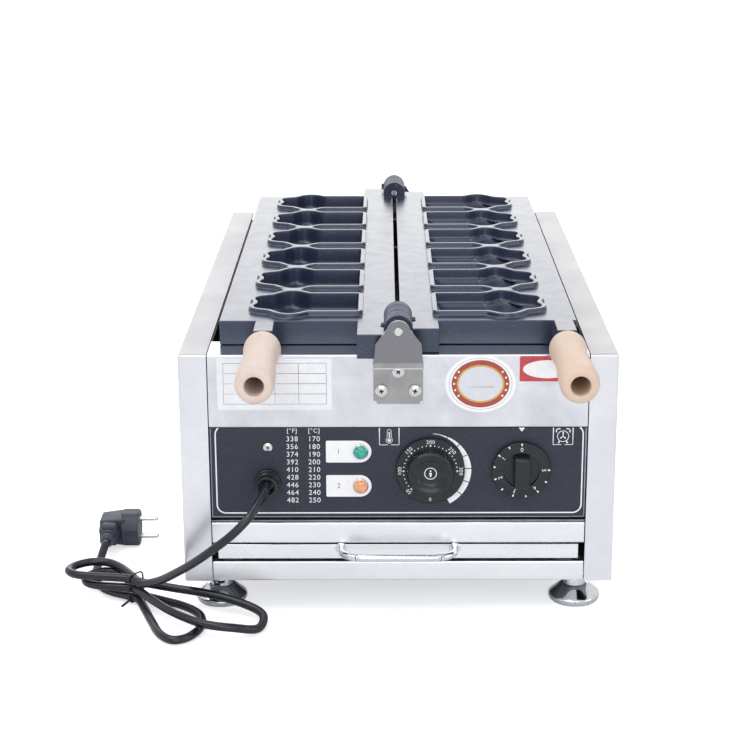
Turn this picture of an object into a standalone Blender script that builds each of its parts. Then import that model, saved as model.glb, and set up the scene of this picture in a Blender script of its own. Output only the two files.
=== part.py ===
"""Countertop waffle maker with two folding plates of bear-shaped moulds, piece by piece.

Sizes are in metres, Z is up and +Y runs from the front panel to the back. The origin lies on the
surface that the feet stand on, below the middle of the machine.
"""
import math

import bmesh
import bpy
from mathutils import Matrix, Vector

# Clearances
GAP = 0.0003                 # between two pieces that touch
CUT_OVERRUN = 0.003          # how far a cutter runs past the surface that it cuts
WELD = 0.00001               # merge distance

# Casing of folded sheet
CASE_W = 0.400
CASE_D = 0.636
CASE_H = 0.221
SHEET_T = 0.0015
SHEET_BEND_R = 0.002
CHEEK_W = 0.0260             # folded flanges of the side panels
FRONT_SEAM = 0.0008          # between a side panel and the sheets beside it
FASCIA_H = 0.0696
FASCIA_TOP_D = 0.045         # flange under the mould plates
FASCIA_LIP_D = 0.012
PANEL_T = 0.002
PANEL_RECESS = 0.0008
PANEL_SHADOW_GAP = 0.0045    # dark gap under the control panel
MID_RAIL_H = 0.021
RAIL_D = 0.015
BOTTOM_RAIL_H = 0.0198
TRAY_LOWER_SEAM = 0.0029     # between the tray's front and the bottom rail
FLOOR_LIP_H = 0.012
WELL_H = 0.042               # heat tray under the moulds
WELL_SHEET_T = 0.001
BAY_D = 0.080                # control bay, from the front face to its shield
BAY_FLANGE_D = 0.012

# Crumb tray
TRAY_FRONT_H = 0.014
TRAY_FRONT_SIDE_GAP = 0.0052
TRAY_SEAM = 0.001
TRAY_BODY_H = 0.0125
TRAY_BODY_INSET = 0.038      # from the casing's sides
TRAY_D = 0.560
TRAY_SHEET_T = 0.001
RUNNER_SHELF_W = 0.014
RUNNER_T = 0.0015
RUNNER_GUIDE_H = 0.006
RUNNER_D = 0.540
BOW_W = 0.108                # bow handle of the tray
BOW_REACH = 0.024
BOW_DROP = 0.006
BOW_ROD_R = 0.0035
BOW_BEND_R = 0.009
BOW_BEND_STEPS = 3

# Feet
FOOT_H = 0.033
FOOT_R = 0.0242
FOOT_SOLE_R = 0.0215
FOOT_RIM_Z = 0.0042
FOOT_RIM_H = 0.0024
FOOT_SHOULDER_R = 0.0195
FOOT_SHOULDER_Z = 0.0105
FOOT_COLLAR_R = 0.0105
FOOT_COLLAR_Z = 0.0175
FOOT_STUD_R = 0.004
FOOT_STUD_H = 0.018
FOOT_STUD_CLEAR = 0.0004
FOOT_SIDE_INSET = 0.031
FOOT_INSET = 0.035           # from the front and back faces
FOOT_BOSS_R = 0.011
FOOT_BOSS_H = 0.008

# Mould plates
PLATE_T = 0.0226
PLATE_SEAT = 0.0004          # plates lie this far above the sheet
PLATE_SIDE_INSET = 0.036     # from the casing's sides
PLATE_SETBACK = 0.033        # front edge of the plates behind the front face
PLATE_D = 0.583
STRIP_SLOT = 0.004           # slot between the two hinge strips
STRIP_W = 0.0352
STRIP_FRONT_REACH = 0.0155   # left strip ahead of the front face
STRIP_BACK_REACH = 0.030     # left strip behind the back face
RIM_H = 0.0045
RIM_W = 0.0045
CAVITIES = 6
CAVITY_PITCH = 0.0955
CAVITY_FIRST = 0.086         # centre of the first hollow behind the front face
CAVITY_INNER_X = 0.037
CAVITY_TIP_INSET = 0.029     # from the plate's outer edge
CAVITY_HALF_W = 0.042        # half width at the arms
CAVITY_DEPTH = 0.0175        # below the rim
CAVITY_DRAFT_SCALE = 0.93
WELL_STEP = 0.011            # depth at which the rounded hollows of the right plate begin
HOLLOW_LIFT = 0.0013          # centres of the rounded hollows above the step
BELLY_R = (0.021, 0.033)     # half length and half width of the belly hollow
HEAD_R = (0.0095, 0.017)
TRUNK_R = 0.026              # half width of the long hollow

# Half outline of a bear, from the notch between its ears (0) to the flat end (1), and out from its
# middle line (0) to the arms (1)
BEAR_SHARES = (
    (0.030, 0.000), (0.022, 0.130), (0.000, 0.270), (0.004, 0.400), (0.035, 0.510),
    (0.100, 0.585), (0.170, 0.665), (0.215, 0.790), (0.270, 0.930), (0.340, 1.000),
    (0.410, 0.965), (0.465, 0.860), (0.515, 0.765), (1.000, 0.765))
BELLY_ALONG_SHARE = 0.34
HEAD_ALONG_SHARE = 0.165
TRUNK_START_SHARE = 0.50
TRUNK_END_SHARE = 0.925

# Hinge
KNUCKLE_R = 0.013
KNUCKLE_GAP = 0.0006
KNUCKLE_C_W = 0.0195         # outer knuckles of the left plate
KNUCKLE_B_W = 0.0180         # knuckles of the right plate
KNUCKLE_A_W = 0.0140         # inner knuckles of the left plate
NOTCH_CLEAR = 0.0008
PIN_R = 0.004
PIN_CLEAR = 0.0003
COLLAR_R = 0.008
COLLAR_W = 0.0052
BRACKET_T = 0.003
BRACKET_W = 0.045
BRACKET_SHOULDER_W = 0.041
BRACKET_TOP_R = 0.0106
BRACKET_FOLD_Z = 0.0066      # below the casing top
BRACKET_SHOULDER_Z = 0.0165  # above the casing top
BRACKET_FLANGE_H = 0.0391
BRACKET_CORNER_R = 0.003
BRACKET_ARC_STEPS = 8
BRACKET_ARC_START = math.radians(12)
SCREW_HEAD_R = 0.006
SCREW_HEAD_H = 0.0032
SCREW_HEAD_FLAT_R = 0.0035
SCREW_R = 0.003
SCREW_L = 0.012
SCREW_CLEAR = 0.0003
SCREW_TOP_DROP = 0.0146      # first screw below the casing top
SCREW_ROW_DROP = 0.0328      # the two lower screws
SCREW_HALF_SPACING = 0.0153

# Handles
HANDLE_INSETS = (0.042, 0.012)   # left and right, from the plates' outer edges
LUG_W = 0.0175
LUG_REACH = 0.002            # lug ahead of the front face
ROD_R = 0.005
ROD_CLEAR = 0.0003
ROD_SOCKET_D = 0.022
ROD_Z = 0.0078               # rod above the casing top
ROD_TIP_REACH = 0.078
GRIP_FRONT_REACH = 0.124
GRIP_L = 0.1195
GRIP_END_R = 0.0155
GRIP_FAR_R = 0.0168
GRIP_WAIST_R = 0.0150
GRIP_BELLY_R = 0.0174
GRIP_TIP_R = 0.0125
GRIP_BELLY_SHARES = (0.07, 0.16)
GRIP_WAIST_SHARE = 0.62
GRIP_FAR_SHARES = (0.88, 0.97)
GRIP_BORE_R = 0.00835
GRIP_BORE_D = 0.052
NUT_R = 0.0075
NUT_H = 0.005

# Heating
ELEMENT_R = 0.004
ELEMENT_RISE = 0.010         # centre line below the casing top
ELEMENT_FRONT = 0.075
ELEMENT_L = 0.490
ELEMENT_HALF_SPAN = 0.0265   # half distance between the two runs of one element
ELEMENT_SHARES = (-0.75, -0.274, 0.274, 0.75)   # of half the plates' width
ELEMENT_BEND_STEPS = 6
SUPPORT_T = 0.003
SUPPORT_D = 0.012
SUPPORT_INSET = 0.070        # from the ends of the elements
SUPPORT_LEG_W = 0.012

# Controls, from the left or right end of the front panel and above its middle
DIAL_FROM_RIGHT = 0.1436
DIAL_RISE = 0.0031
DIAL_SKIRT_R = 0.0318
DIAL_SKIRT_T = 0.003
DIAL_CAP_R = 0.022
DIAL_CAP_H = 0.0135
DIAL_CAP_TAPER = 0.002
TIMER_FROM_RIGHT = 0.0599
TIMER_RISE = 0.00385
TIMER_SKIRT_R = 0.027
TIMER_SKIRT_T = 0.005
TIMER_BAR_W = 0.0146
TIMER_BAR_L = 0.030
TIMER_BAR_H = 0.0105
TIMER_BAR_BEVEL = 0.003
KNOB_SEAT = 0.001
KNOB_SOCKET_D = 0.009
SHAFT_R = 0.003
SHAFT_CLEAR = 0.0003
SHAFT_REACH = 0.009
THERMOSTAT_W = 0.040
THERMOSTAT_H = 0.036
THERMOSTAT_D = 0.030
TIMER_BODY_W = 0.046
TIMER_BODY_H = 0.046
TIMER_BODY_D = 0.036
BUSH_R = 0.0045
LAMP_FROM_RIGHT = 0.2077
LAMP_RISES = (0.02095, -0.01255)
LAMP_LENS_R = 0.0055
LAMP_LENS_RISE = 0.0045
LAMP_DOME_SHARES = (0.8, 0.6)
LAMP_BEZEL_R = 0.00725
LAMP_BEZEL_T = 0.0018
LAMP_BODY_D = 0.028
LAMP_CLEAR = 0.0003
PANEL_SCREW_FROM_LEFT = 0.0535
PANEL_SCREW_RISE = 0.02745
PANEL_SCREW_R = 0.0045
PANEL_SCREW_SHANK_R = 0.002
PANEL_SCREW_L = 0.010
TERMINAL_W = 0.050
TERMINAL_D = 0.022
TERMINAL_H = 0.020
TERMINAL_SLOTS = 4
TERMINAL_SLOT_W = 0.003
TERMINAL_SLOT_H = 0.006
TERMINAL_FROM_LEFT = 0.0982

# Mains cord
CORD_R = 0.004
GLAND_FROM_LEFT = 0.0529
GLAND_RISE = -0.00565
GLAND_FLANGE_R = 0.012
GLAND_FLANGE_T = 0.004
GLAND_NOSE_R = 0.0102
GLAND_TIP_R = 0.0090
GLAND_REACH = 0.015
GLAND_MOUTH_R = 0.0062
GLAND_MOUTH_D = 0.004
GLAND_BODY_R = 0.008
GLAND_BODY_D = 0.020
GLAND_CLEAR = 0.0003
CORD_SPACING = 0.017         # between the points of a free stretch
HANK_POINTS = 24             # points of one loop
HANK_LAYER = 0.0092          # from one layer of cord to the next
HANK_COLUMN = 0.0098         # between the two columns of cord at the tie
HANK_LOW_Z = 0.0068          # centre of the lowest cord at the tie
HANK_END_Z = 0.0055          # centre of the cord where the hank ends
HANK_TIE = (-0.250, -0.250)  # place of the tie on the floor
TIE_TURN = math.radians(-38)
TIE_WIRE_R = 0.0008
TIE_CLEAR = 0.0005

# Plug
PLUG_X = -0.2655             # pin face
PLUG_Y = -0.100
PLUG_Z = 0.0180
PLUG_FACE_R = 0.0190
PLUG_FACE_T = 0.018
PLUG_FLAT = 0.0175           # the round face is cut flat above and below
PLUG_HOOD_L = 0.022
PLUG_HOOD_W = 0.032
PLUG_HOOD_H = 0.029
PLUG_HOOD_TAPER_SCALE = 0.80
PLUG_NECK_R = 0.0085
PLUG_NECK_TIP_R = 0.0056
PLUG_NECK_L = 0.026
PLUG_PIN_R = 0.0024
PLUG_PIN_L = 0.019
PLUG_PIN_SPACING = 0.019
PLUG_PIN_SOCKET = 0.005
PLUG_PIN_CLEAR = 0.0002

# Facets
ROUND = 28
SMALL_ROUND = 16
CURVE_STEPS = 24
LOBE_STEPS = 12               # knots of one lobe of the hank, less two at each end

# Heights and places that follow from the sizes
TOP_Z = FOOT_H + CASE_H
AXIS_Z = TOP_Z + PLATE_SEAT + PLATE_T + RIM_H + GAP / 2
BACK_REACH = STRIP_BACK_REACH + GAP + COLLAR_W + GAP + BRACKET_T
FRONT_Y = (GRIP_FRONT_REACH - CASE_D - BACK_REACH) / 2
BACK_Y = FRONT_Y + CASE_D
INNER_X = CASE_W / 2 - CHEEK_W
FRONT_HALF_W = INNER_X - FRONT_SEAM
PANEL_TOP_Z = TOP_Z - FASCIA_H - GAP
BOTTOM_RAIL_TOP_Z = FOOT_H + BOTTOM_RAIL_H
TRAY_BOTTOM_Z = BOTTOM_RAIL_TOP_Z + TRAY_LOWER_SEAM
TRAY_TOP_Z = TRAY_BOTTOM_Z + TRAY_FRONT_H
MID_RAIL_BOTTOM_Z = TRAY_TOP_Z + TRAY_SEAM
MID_RAIL_TOP_Z = MID_RAIL_BOTTOM_Z + MID_RAIL_H
PANEL_BOTTOM_Z = MID_RAIL_TOP_Z + PANEL_SHADOW_GAP
PANEL_MIDDLE_Z = (PANEL_TOP_Z + PANEL_BOTTOM_Z) / 2
TRAY_BODY_BOTTOM_Z = TRAY_BOTTOM_Z + (TRAY_FRONT_H - TRAY_BODY_H) / 2
PLATE_BOTTOM_Z = TOP_Z + PLATE_SEAT
PLATE_TOP_Z = PLATE_BOTTOM_Z + PLATE_T
RIM_TOP_Z = PLATE_TOP_Z + RIM_H
WELL_TOP_Z = TOP_Z - SHEET_T - GAP
WELL_BOTTOM_Z = WELL_TOP_Z - WELL_H
PANEL_FACE_Y = FRONT_Y + PANEL_RECESS
PANEL_BACK_Y = PANEL_FACE_Y + PANEL_T
TRAY_BODY_W = CASE_W - TRAY_BODY_INSET * 2
FOOT_X = CASE_W / 2 - FOOT_SIDE_INSET
PLATE_HALF_W = CASE_W / 2 - PLATE_SIDE_INSET
CAVITY_TIP_X = PLATE_HALF_W - CAVITY_TIP_INSET
HANDLE_X = (HANDLE_INSETS[0] - PLATE_HALF_W, PLATE_HALF_W - HANDLE_INSETS[1])
DIAL_X, DIAL_Z = FRONT_HALF_W - DIAL_FROM_RIGHT, PANEL_MIDDLE_Z + DIAL_RISE
TIMER_X, TIMER_Z = FRONT_HALF_W - TIMER_FROM_RIGHT, PANEL_MIDDLE_Z + TIMER_RISE
LAMP_X = FRONT_HALF_W - LAMP_FROM_RIGHT
GREEN_LAMP_Z, ORANGE_LAMP_Z = (PANEL_MIDDLE_Z + rise for rise in LAMP_RISES)
PANEL_SCREW_X = PANEL_SCREW_FROM_LEFT - FRONT_HALF_W
PANEL_SCREW_Z = PANEL_MIDDLE_Z + PANEL_SCREW_RISE
TERMINAL_X = TERMINAL_FROM_LEFT - FRONT_HALF_W
GLAND_X, GLAND_Z = GLAND_FROM_LEFT - FRONT_HALF_W, PANEL_MIDDLE_Z + GLAND_RISE


def new_collection(name):
    group = bpy.data.collections.new(name)
    bpy.context.scene.collection.children.link(group)
    return group


for old in list(bpy.data.objects):
    bpy.data.objects.remove(old, do_unlink=True)
PARTS = new_collection("waffle_maker")
CUTTERS = new_collection("cutters")


def finish_material(name, colour, roughness, metallic):
    """One Principled finish; colour is linear red, green and blue."""
    made = bpy.data.materials.new(name)
    made.use_nodes = True
    shader = made.node_tree.nodes["Principled BSDF"]
    shader.inputs["Base Color"].default_value = (*colour, 1.0)
    shader.inputs["Roughness"].default_value = roughness
    shader.inputs["Metallic"].default_value = metallic
    return made


STAINLESS = finish_material("brushed_stainless", (0.62, 0.63, 0.66), 0.32, 1.0)
BRACKET_STEEL = finish_material("bracket_steel", (0.40, 0.39, 0.40), 0.40, 1.0)
GALVANISED = finish_material("galvanised_sheet", (0.45, 0.46, 0.48), 0.50, 1.0)
CHROME = finish_material("chrome", (0.80, 0.80, 0.82), 0.10, 1.0)
BRIGHT_STEEL = finish_material("bright_steel", (0.66, 0.66, 0.68), 0.20, 1.0)
CAST_COATING = finish_material("coated_casting", (0.030, 0.032, 0.055), 0.35, 0.0)
PANEL_PAINT = finish_material("charcoal_panel", (0.046, 0.052, 0.070), 0.55, 0.0)
BLACK_PLASTIC = finish_material("black_plastic", (0.028, 0.029, 0.032), 0.40, 0.0)
GRIP_WOOD = finish_material("turned_wood", (0.70, 0.50, 0.38), 0.60, 0.0)
ELEMENT_STEEL = finish_material("element_sheath", (0.10, 0.10, 0.10), 0.45, 1.0)
CERAMIC = finish_material("cream_ceramic", (0.70, 0.66, 0.58), 0.50, 0.0)
GREEN_LENS = finish_material("green_lens", (0.017, 0.30, 0.22), 0.15, 0.0)
ORANGE_LENS = finish_material("orange_lens", (0.68, 0.27, 0.11), 0.15, 0.0)
CORD_RUBBER = finish_material("cord_rubber", (0.062, 0.065, 0.080), 0.50, 0.0)
PLUG_RUBBER = finish_material("plug_rubber", (0.045, 0.045, 0.060), 0.50, 0.0)


def place(mesh, name, group=PARTS, material=None):
    """Link a mesh as an object, with its origin at the middle of its own box."""
    corners = [vertex.co.copy() for vertex in mesh.vertices]
    low = Vector([min(corner[axis] for corner in corners) for axis in range(3)])
    high = Vector([max(corner[axis] for corner in corners) for axis in range(3)])
    middle = (low + high) / 2
    mesh.transform(Matrix.Translation(-middle))
    made = bpy.data.objects.new(name, mesh)
    made.location = middle
    group.objects.link(made)
    if material is not None:
        mesh.materials.append(material)
    if group is CUTTERS:
        made.hide_render = True
        made.display_type = "WIRE"
    return made


def mesh_from(shape, name):
    mesh = bpy.data.meshes.new(name)
    shape.to_mesh(mesh)
    shape.free()
    return mesh


def box(name, low, high, group=PARTS, material=None):
    shape = bmesh.new()
    bmesh.ops.create_cube(shape, size=1.0)
    low, high = Vector(low), Vector(high)
    bmesh.ops.scale(shape, vec=high - low, verts=shape.verts)
    bmesh.ops.translate(shape, vec=(low + high) / 2, verts=shape.verts)
    return place(mesh_from(shape, name), name, group, material)


def rod(name, radius, start, end, group=PARTS, material=None, end_radius=None, sides=ROUND):
    """Straight round bar or cone between two points."""
    start, end = Vector(start), Vector(end)
    shape = bmesh.new()
    bmesh.ops.create_cone(shape, cap_ends=True, segments=sides, radius1=radius,
                          radius2=radius if end_radius is None else end_radius,
                          depth=(end - start).length)
    turn = (end - start).to_track_quat("Z", "Y").to_matrix().to_4x4()
    bmesh.ops.transform(shape, matrix=Matrix.Translation((start + end) / 2) @ turn,
                        verts=shape.verts)
    mesh = mesh_from(shape, name)
    made = place(mesh, name, group, material)
    smooth(made)
    return made


def smooth(made, angle=math.radians(35)):
    made.data.shade_smooth()
    made.data.set_sharp_from_angle(angle=angle)


def pan(name, low, high, open_sides, thickness, material, bend_radius=SHEET_BEND_R):
    """Folded sheet box: a cube without its open sides, thickened inwards."""
    shape = bmesh.new()
    bmesh.ops.create_cube(shape, size=1.0)
    low, high = Vector(low), Vector(high)
    bmesh.ops.scale(shape, vec=high - low, verts=shape.verts)
    bmesh.ops.translate(shape, vec=(low + high) / 2, verts=shape.verts)
    shape.normal_update()
    gone = [face for face in shape.faces
            if any(face.normal.dot(Vector(side)) > 0.9 for side in open_sides)]
    bmesh.ops.delete(shape, geom=gone, context="FACES")
    made = place(mesh_from(shape, name), name, PARTS, material)
    fold_and_thicken(made, thickness, bend_radius)
    return made


def fold_and_thicken(made, thickness, bend_radius):
    if bend_radius > 0:
        fold = made.modifiers.new("fold", "BEVEL")
        fold.width = bend_radius
        fold.segments = 2
        fold.limit_method = "ANGLE"
    wall = made.modifiers.new("wall", "SOLIDIFY")
    wall.thickness = thickness
    wall.offset = -1.0
    wall.use_even_offset = True


def folded_sheet(name, profile, left_x, right_x, thickness, material, bend_radius=SHEET_BEND_R):
    """Sheet folded along X; the profile's (y, z) points run with the outside on their left."""
    shape = bmesh.new()
    last = shape.verts.new((left_x, *profile[0]))
    rail = [last]
    for point in profile[1:]:
        rail.append(shape.verts.new((left_x, *point)))
    edges = [shape.edges.new(pair) for pair in zip(rail, rail[1:])]
    swept = bmesh.ops.extrude_edge_only(shape, edges=edges)["geom"]
    moved = [item for item in swept if isinstance(item, bmesh.types.BMVert)]
    bmesh.ops.translate(shape, vec=(right_x - left_x, 0, 0), verts=moved)
    shape.normal_update()
    start, end = (Vector((0, *point)) for point in profile[:2])
    outward = Vector((1, 0, 0)).cross(end - start)
    middle = (start + end) / 2
    first = min(shape.faces, key=lambda face: (face.calc_center_median().yz - middle.yz).length)
    if first.normal.dot(outward) < 0:
        bmesh.ops.reverse_faces(shape, faces=shape.faces)
    made = place(mesh_from(shape, name), name, PARTS, material)
    fold_and_thicken(made, thickness, bend_radius)
    return made


def outline_solid(name, points, thickness, group=PARTS, material=None, facing="Z"):
    """Flat outline thickened to both sides. Facing Z lays it in plan, facing Y stands it up."""
    curve = bpy.data.curves.new(name, "CURVE")
    curve.dimensions = "2D"
    curve.fill_mode = "BOTH"
    curve.extrude = thickness / 2
    curve.resolution_u = 1
    curve.render_resolution_u = 0
    line = curve.splines.new("POLY")
    line.points.add(len(points) - 1)
    for spot, (across, along) in zip(line.points, points):
        spot.co = (across, along, 0, 1)
    line.use_cyclic_u = True
    flat = bpy.data.objects.new(name + "_outline", curve)
    CUTTERS.objects.link(flat)
    bpy.context.view_layer.update()
    mesh = mesh_of(flat, name)
    if facing == "Y":
        mesh.transform(Matrix.Rotation(math.radians(90), 4, "X"))
    return place(mesh, name, group, material)


def mesh_of(curve_object, name):
    """Closed mesh of a curve object, which is removed."""
    graph = bpy.context.evaluated_depsgraph_get()
    mesh = bpy.data.meshes.new_from_object(curve_object.evaluated_get(graph))
    mesh.name = name
    shape = bmesh.new()
    shape.from_mesh(mesh)
    bmesh.ops.remove_doubles(shape, verts=shape.verts, dist=WELD)
    bmesh.ops.recalc_face_normals(shape, faces=shape.faces)
    shape.to_mesh(mesh)
    shape.free()
    mesh.transform(curve_object.matrix_world)
    bpy.data.objects.remove(curve_object, do_unlink=True)
    return mesh


def tube(name, points, radius, material, resolution=2, closed=False, group=PARTS):
    """Round wire or cord along a list of points."""
    curve = bpy.data.curves.new(name, "CURVE")
    curve.dimensions = "3D"
    curve.bevel_depth = radius
    curve.bevel_resolution = resolution
    curve.use_fill_caps = True
    curve.resolution_u = 1
    curve.render_resolution_u = 0
    line = curve.splines.new("POLY")
    line.points.add(len(points) - 1)
    for spot, point in zip(line.points, points):
        spot.co = (*point, 1)
    line.use_cyclic_u = closed
    wire = bpy.data.objects.new(name + "_wire", curve)
    CUTTERS.objects.link(wire)
    bpy.context.view_layer.update()
    made = place(mesh_of(wire, name), name, group, material)
    smooth(made, math.radians(60))
    return made


def turned(name, profile, start, axis, material, group=PARTS, steps=ROUND):
    """Turned piece: (radius, height) points up from the foot of its axis, spun by a Screw."""
    shape = bmesh.new()
    spots = [shape.verts.new((radius, 0, height)) for radius, height in reversed(profile)]
    for pair in zip(spots, spots[1:]):
        shape.edges.new(pair)
    mesh = mesh_from(shape, name)
    made = bpy.data.objects.new(name, mesh)
    made.location = start
    made.rotation_euler = Vector(axis).to_track_quat("Z", "Y").to_euler()
    group.objects.link(made)
    if material is not None:
        mesh.materials.append(material)
    spin = made.modifiers.new("spin", "SCREW")
    spin.axis = "Z"
    spin.steps = steps
    spin.render_steps = steps
    spin.use_merge_vertices = True
    spin.merge_threshold = WELD
    spin.use_smooth_shade = True
    if group is CUTTERS:
        made.hide_render = True
        made.display_type = "WIRE"
    return made


def ellipsoid(name, radii, centre, sides=SMALL_ROUND):
    shape = bmesh.new()
    bmesh.ops.create_uvsphere(shape, u_segments=sides, v_segments=sides // 2, radius=1.0)
    bmesh.ops.scale(shape, vec=radii, verts=shape.verts)
    bmesh.ops.translate(shape, vec=centre, verts=shape.verts)
    return place(mesh_from(shape, name), name, CUTTERS)


def combine(made, other, operation):
    """Cut, or join on, a piece from the cutters' collection."""
    step = made.modifiers.new(other.name, "BOOLEAN")
    step.operation = operation
    step.solver = "EXACT"
    step.object = other
    return made


def cut(made, *others):
    for other in others:
        combine(made, other, "DIFFERENCE")
    return made


def join(made, *others):
    for other in others:
        combine(made, other, "UNION")
    return made


def combine_all(made, name, others, operation):
    """One Boolean with many cutters, which share a collection."""
    group = bpy.data.collections.new(name)
    CUTTERS.children.link(group)
    for other in others:
        CUTTERS.objects.unlink(other)
        group.objects.link(other)
    step = made.modifiers.new(name, "BOOLEAN")
    step.operation = operation
    step.solver = "EXACT"
    step.operand_type = "COLLECTION"
    step.collection = group
    return made


def pivot(name, spot, pieces):
    """Empty on a joint's axis that carries the pieces of one moving body."""
    holder = bpy.data.objects.new(name, None)
    holder.location = spot
    PARTS.objects.link(holder)
    bpy.context.view_layer.update()
    for piece in pieces:
        piece.parent = holder
        piece.matrix_parent_inverse = holder.matrix_world.inverted()
    return holder


def smooth_route(knots, spacing, closed=False, straight_ends=False):
    """Even steps along one smooth curve through the knots; its first and last span can be straight."""
    knots = [Vector(knot) for knot in knots]
    count = len(knots)
    dense = []
    spans = range(count if closed else count - 1)
    if straight_ends:
        spans = spans[1:-1]
    for index in spans:
        if closed:
            before, start, end, after = (knots[(index + k) % count] for k in (-1, 0, 1, 2))
        else:
            start, end = knots[index], knots[index + 1]
            before = knots[index - 1] if index > 0 else start * 2 - end
            after = knots[index + 2] if index + 2 < count else end * 2 - start
        for step in range(CURVE_STEPS):
            t = step / CURVE_STEPS
            dense.append(0.5 * (2 * start + (end - before) * t
                                + (2 * before - 5 * start + 4 * end - after) * t * t
                                + (3 * start - before - 3 * end + after) * t ** 3))
    last = 0 if closed else -2 if straight_ends else -1
    dense.append(knots[last].copy())
    reach = [0.0]
    for start, end in zip(dense, dense[1:]):
        reach.append(reach[-1] + (end - start).length)
    steps = max(2, round(reach[-1] / spacing))
    even, index = [], 0
    for step in range(steps + 1):
        target = reach[-1] * step / steps
        while index < len(reach) - 2 and reach[index + 1] < target:
            index += 1
        span = reach[index + 1] - reach[index]
        even.append(dense[index].lerp(dense[index + 1], (target - reach[index]) / span))
    length = reach[-1]
    if straight_ends:
        length += (knots[1] - knots[0]).length + (knots[-1] - knots[-2]).length
        even = [knots[0], *even, knots[-1]]
    return even, length


# Casing

def build_casing():
    for side, name in ((-1, "left"), (1, "right")):
        inner, outer = sorted((side * INNER_X, side * CASE_W / 2))
        pan(name + "_side_panel", (inner, FRONT_Y, FOOT_H), (outer, BACK_Y, TOP_Z),
            [(-side, 0, 0), (0, 0, -1)], SHEET_T, STAINLESS)

    fascia_bottom = TOP_Z - FASCIA_H
    fascia = folded_sheet(
        "front_fascia",
        [(FRONT_Y + FASCIA_LIP_D, fascia_bottom), (FRONT_Y, fascia_bottom), (FRONT_Y, TOP_Z),
         (FRONT_Y + FASCIA_TOP_D, TOP_Z)],
        -FRONT_HALF_W, FRONT_HALF_W, SHEET_T, STAINLESS)
    back = folded_sheet(
        "back_panel",
        [(BACK_Y - FASCIA_TOP_D, TOP_Z), (BACK_Y, TOP_Z), (BACK_Y, FOOT_H),
         (BACK_Y - FASCIA_LIP_D, FOOT_H)],
        -FRONT_HALF_W, FRONT_HALF_W, SHEET_T, STAINLESS)
    for name, sheet, outer_y in (("front", fascia, FRONT_Y), ("rear", back, BACK_Y)):
        for number, (x, z) in enumerate(screw_spots(), 1):
            cut(sheet, rod(f"{name}_sheet_hole_{number}", SCREW_R + SCREW_CLEAR,
                           (x, outer_y - SHEET_T - CUT_OVERRUN, z),
                           (x, outer_y + SHEET_T + CUT_OVERRUN, z), CUTTERS, sides=SMALL_ROUND))

    folded_sheet("front_mid_rail",
                 [(FRONT_Y + RAIL_D, MID_RAIL_BOTTOM_Z), (FRONT_Y, MID_RAIL_BOTTOM_Z),
                  (FRONT_Y, MID_RAIL_TOP_Z), (FRONT_Y + RAIL_D, MID_RAIL_TOP_Z)],
                 -FRONT_HALF_W, FRONT_HALF_W, SHEET_T, STAINLESS)
    folded_sheet("front_bottom_rail",
                 [(FRONT_Y + RAIL_D, FOOT_H), (FRONT_Y, FOOT_H),
                  (FRONT_Y, BOTTOM_RAIL_TOP_Z), (FRONT_Y + RAIL_D, BOTTOM_RAIL_TOP_Z)],
                 -FRONT_HALF_W, FRONT_HALF_W, SHEET_T, STAINLESS)

    floor_half_w = CASE_W / 2 - SHEET_T - GAP
    floor = pan("floor_pan", (-floor_half_w, FRONT_Y + RAIL_D + GAP, FOOT_H),
                (floor_half_w, BACK_Y - FASCIA_LIP_D - GAP, FOOT_H + FLOOR_LIP_H),
                [(0, 0, 1)], SHEET_T, GALVANISED)
    for number, (x, y) in enumerate(foot_spots(), 1):
        join(floor, rod(f"foot_boss_{number}", FOOT_BOSS_R, (x, y, FOOT_H),
                        (x, y, FOOT_H + FOOT_BOSS_H), CUTTERS, sides=SMALL_ROUND))
        cut(floor, rod(f"foot_hole_{number}", FOOT_STUD_R + FOOT_STUD_CLEAR,
                       (x, y, FOOT_H - CUT_OVERRUN),
                       (x, y, FOOT_H + FOOT_BOSS_H + CUT_OVERRUN), CUTTERS, sides=SMALL_ROUND))

    well_half_w = INNER_X - GAP
    well_front, well_back = FRONT_Y + FASCIA_TOP_D + GAP, BACK_Y - FASCIA_TOP_D - GAP
    pan("heat_tray", (-well_half_w, well_front, WELL_BOTTOM_Z),
        (well_half_w, well_back, WELL_TOP_Z), [(0, 0, 1)], WELL_SHEET_T, GALVANISED, 0)

    bay_back = FRONT_Y + BAY_D
    folded_sheet("bay_shield",
                 [(FRONT_Y + RAIL_D - BAY_FLANGE_D, MID_RAIL_TOP_Z + GAP),
                  (bay_back, MID_RAIL_TOP_Z + GAP), (bay_back, WELL_BOTTOM_Z - GAP)][::-1],
                 -well_half_w, well_half_w, WELL_SHEET_T, GALVANISED, 0)


def screw_spots():
    """The bracket screws' X and Z, the same at the front and the back."""
    row = TOP_Z - SCREW_ROW_DROP
    return ((0.0, TOP_Z - SCREW_TOP_DROP), (-SCREW_HALF_SPACING, row), (SCREW_HALF_SPACING, row))


def foot_spots():
    return [(x, y) for y in (FRONT_Y + FOOT_INSET, BACK_Y - FOOT_INSET)
            for x in (-FOOT_X, FOOT_X)]


def build_feet():
    names = ("front_left_foot", "front_right_foot", "rear_left_foot", "rear_right_foot")
    profile = [(0, 0), (FOOT_SOLE_R, 0), (FOOT_R, FOOT_RIM_Z), (FOOT_R, FOOT_RIM_Z + FOOT_RIM_H),
               (FOOT_SHOULDER_R, FOOT_SHOULDER_Z), (FOOT_COLLAR_R, FOOT_COLLAR_Z),
               (FOOT_COLLAR_R, FOOT_H - GAP), (FOOT_STUD_R, FOOT_H - GAP),
               (FOOT_STUD_R, FOOT_H + FOOT_STUD_H), (0, FOOT_H + FOOT_STUD_H)]
    for name, (x, y) in zip(names, foot_spots()):
        foot = turned(name, profile, (x, y, 0), (0, 0, 1), CHROME, steps=20)
        pivot(name + "_axis", (x, y, 0), [foot])


# Crumb tray

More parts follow.
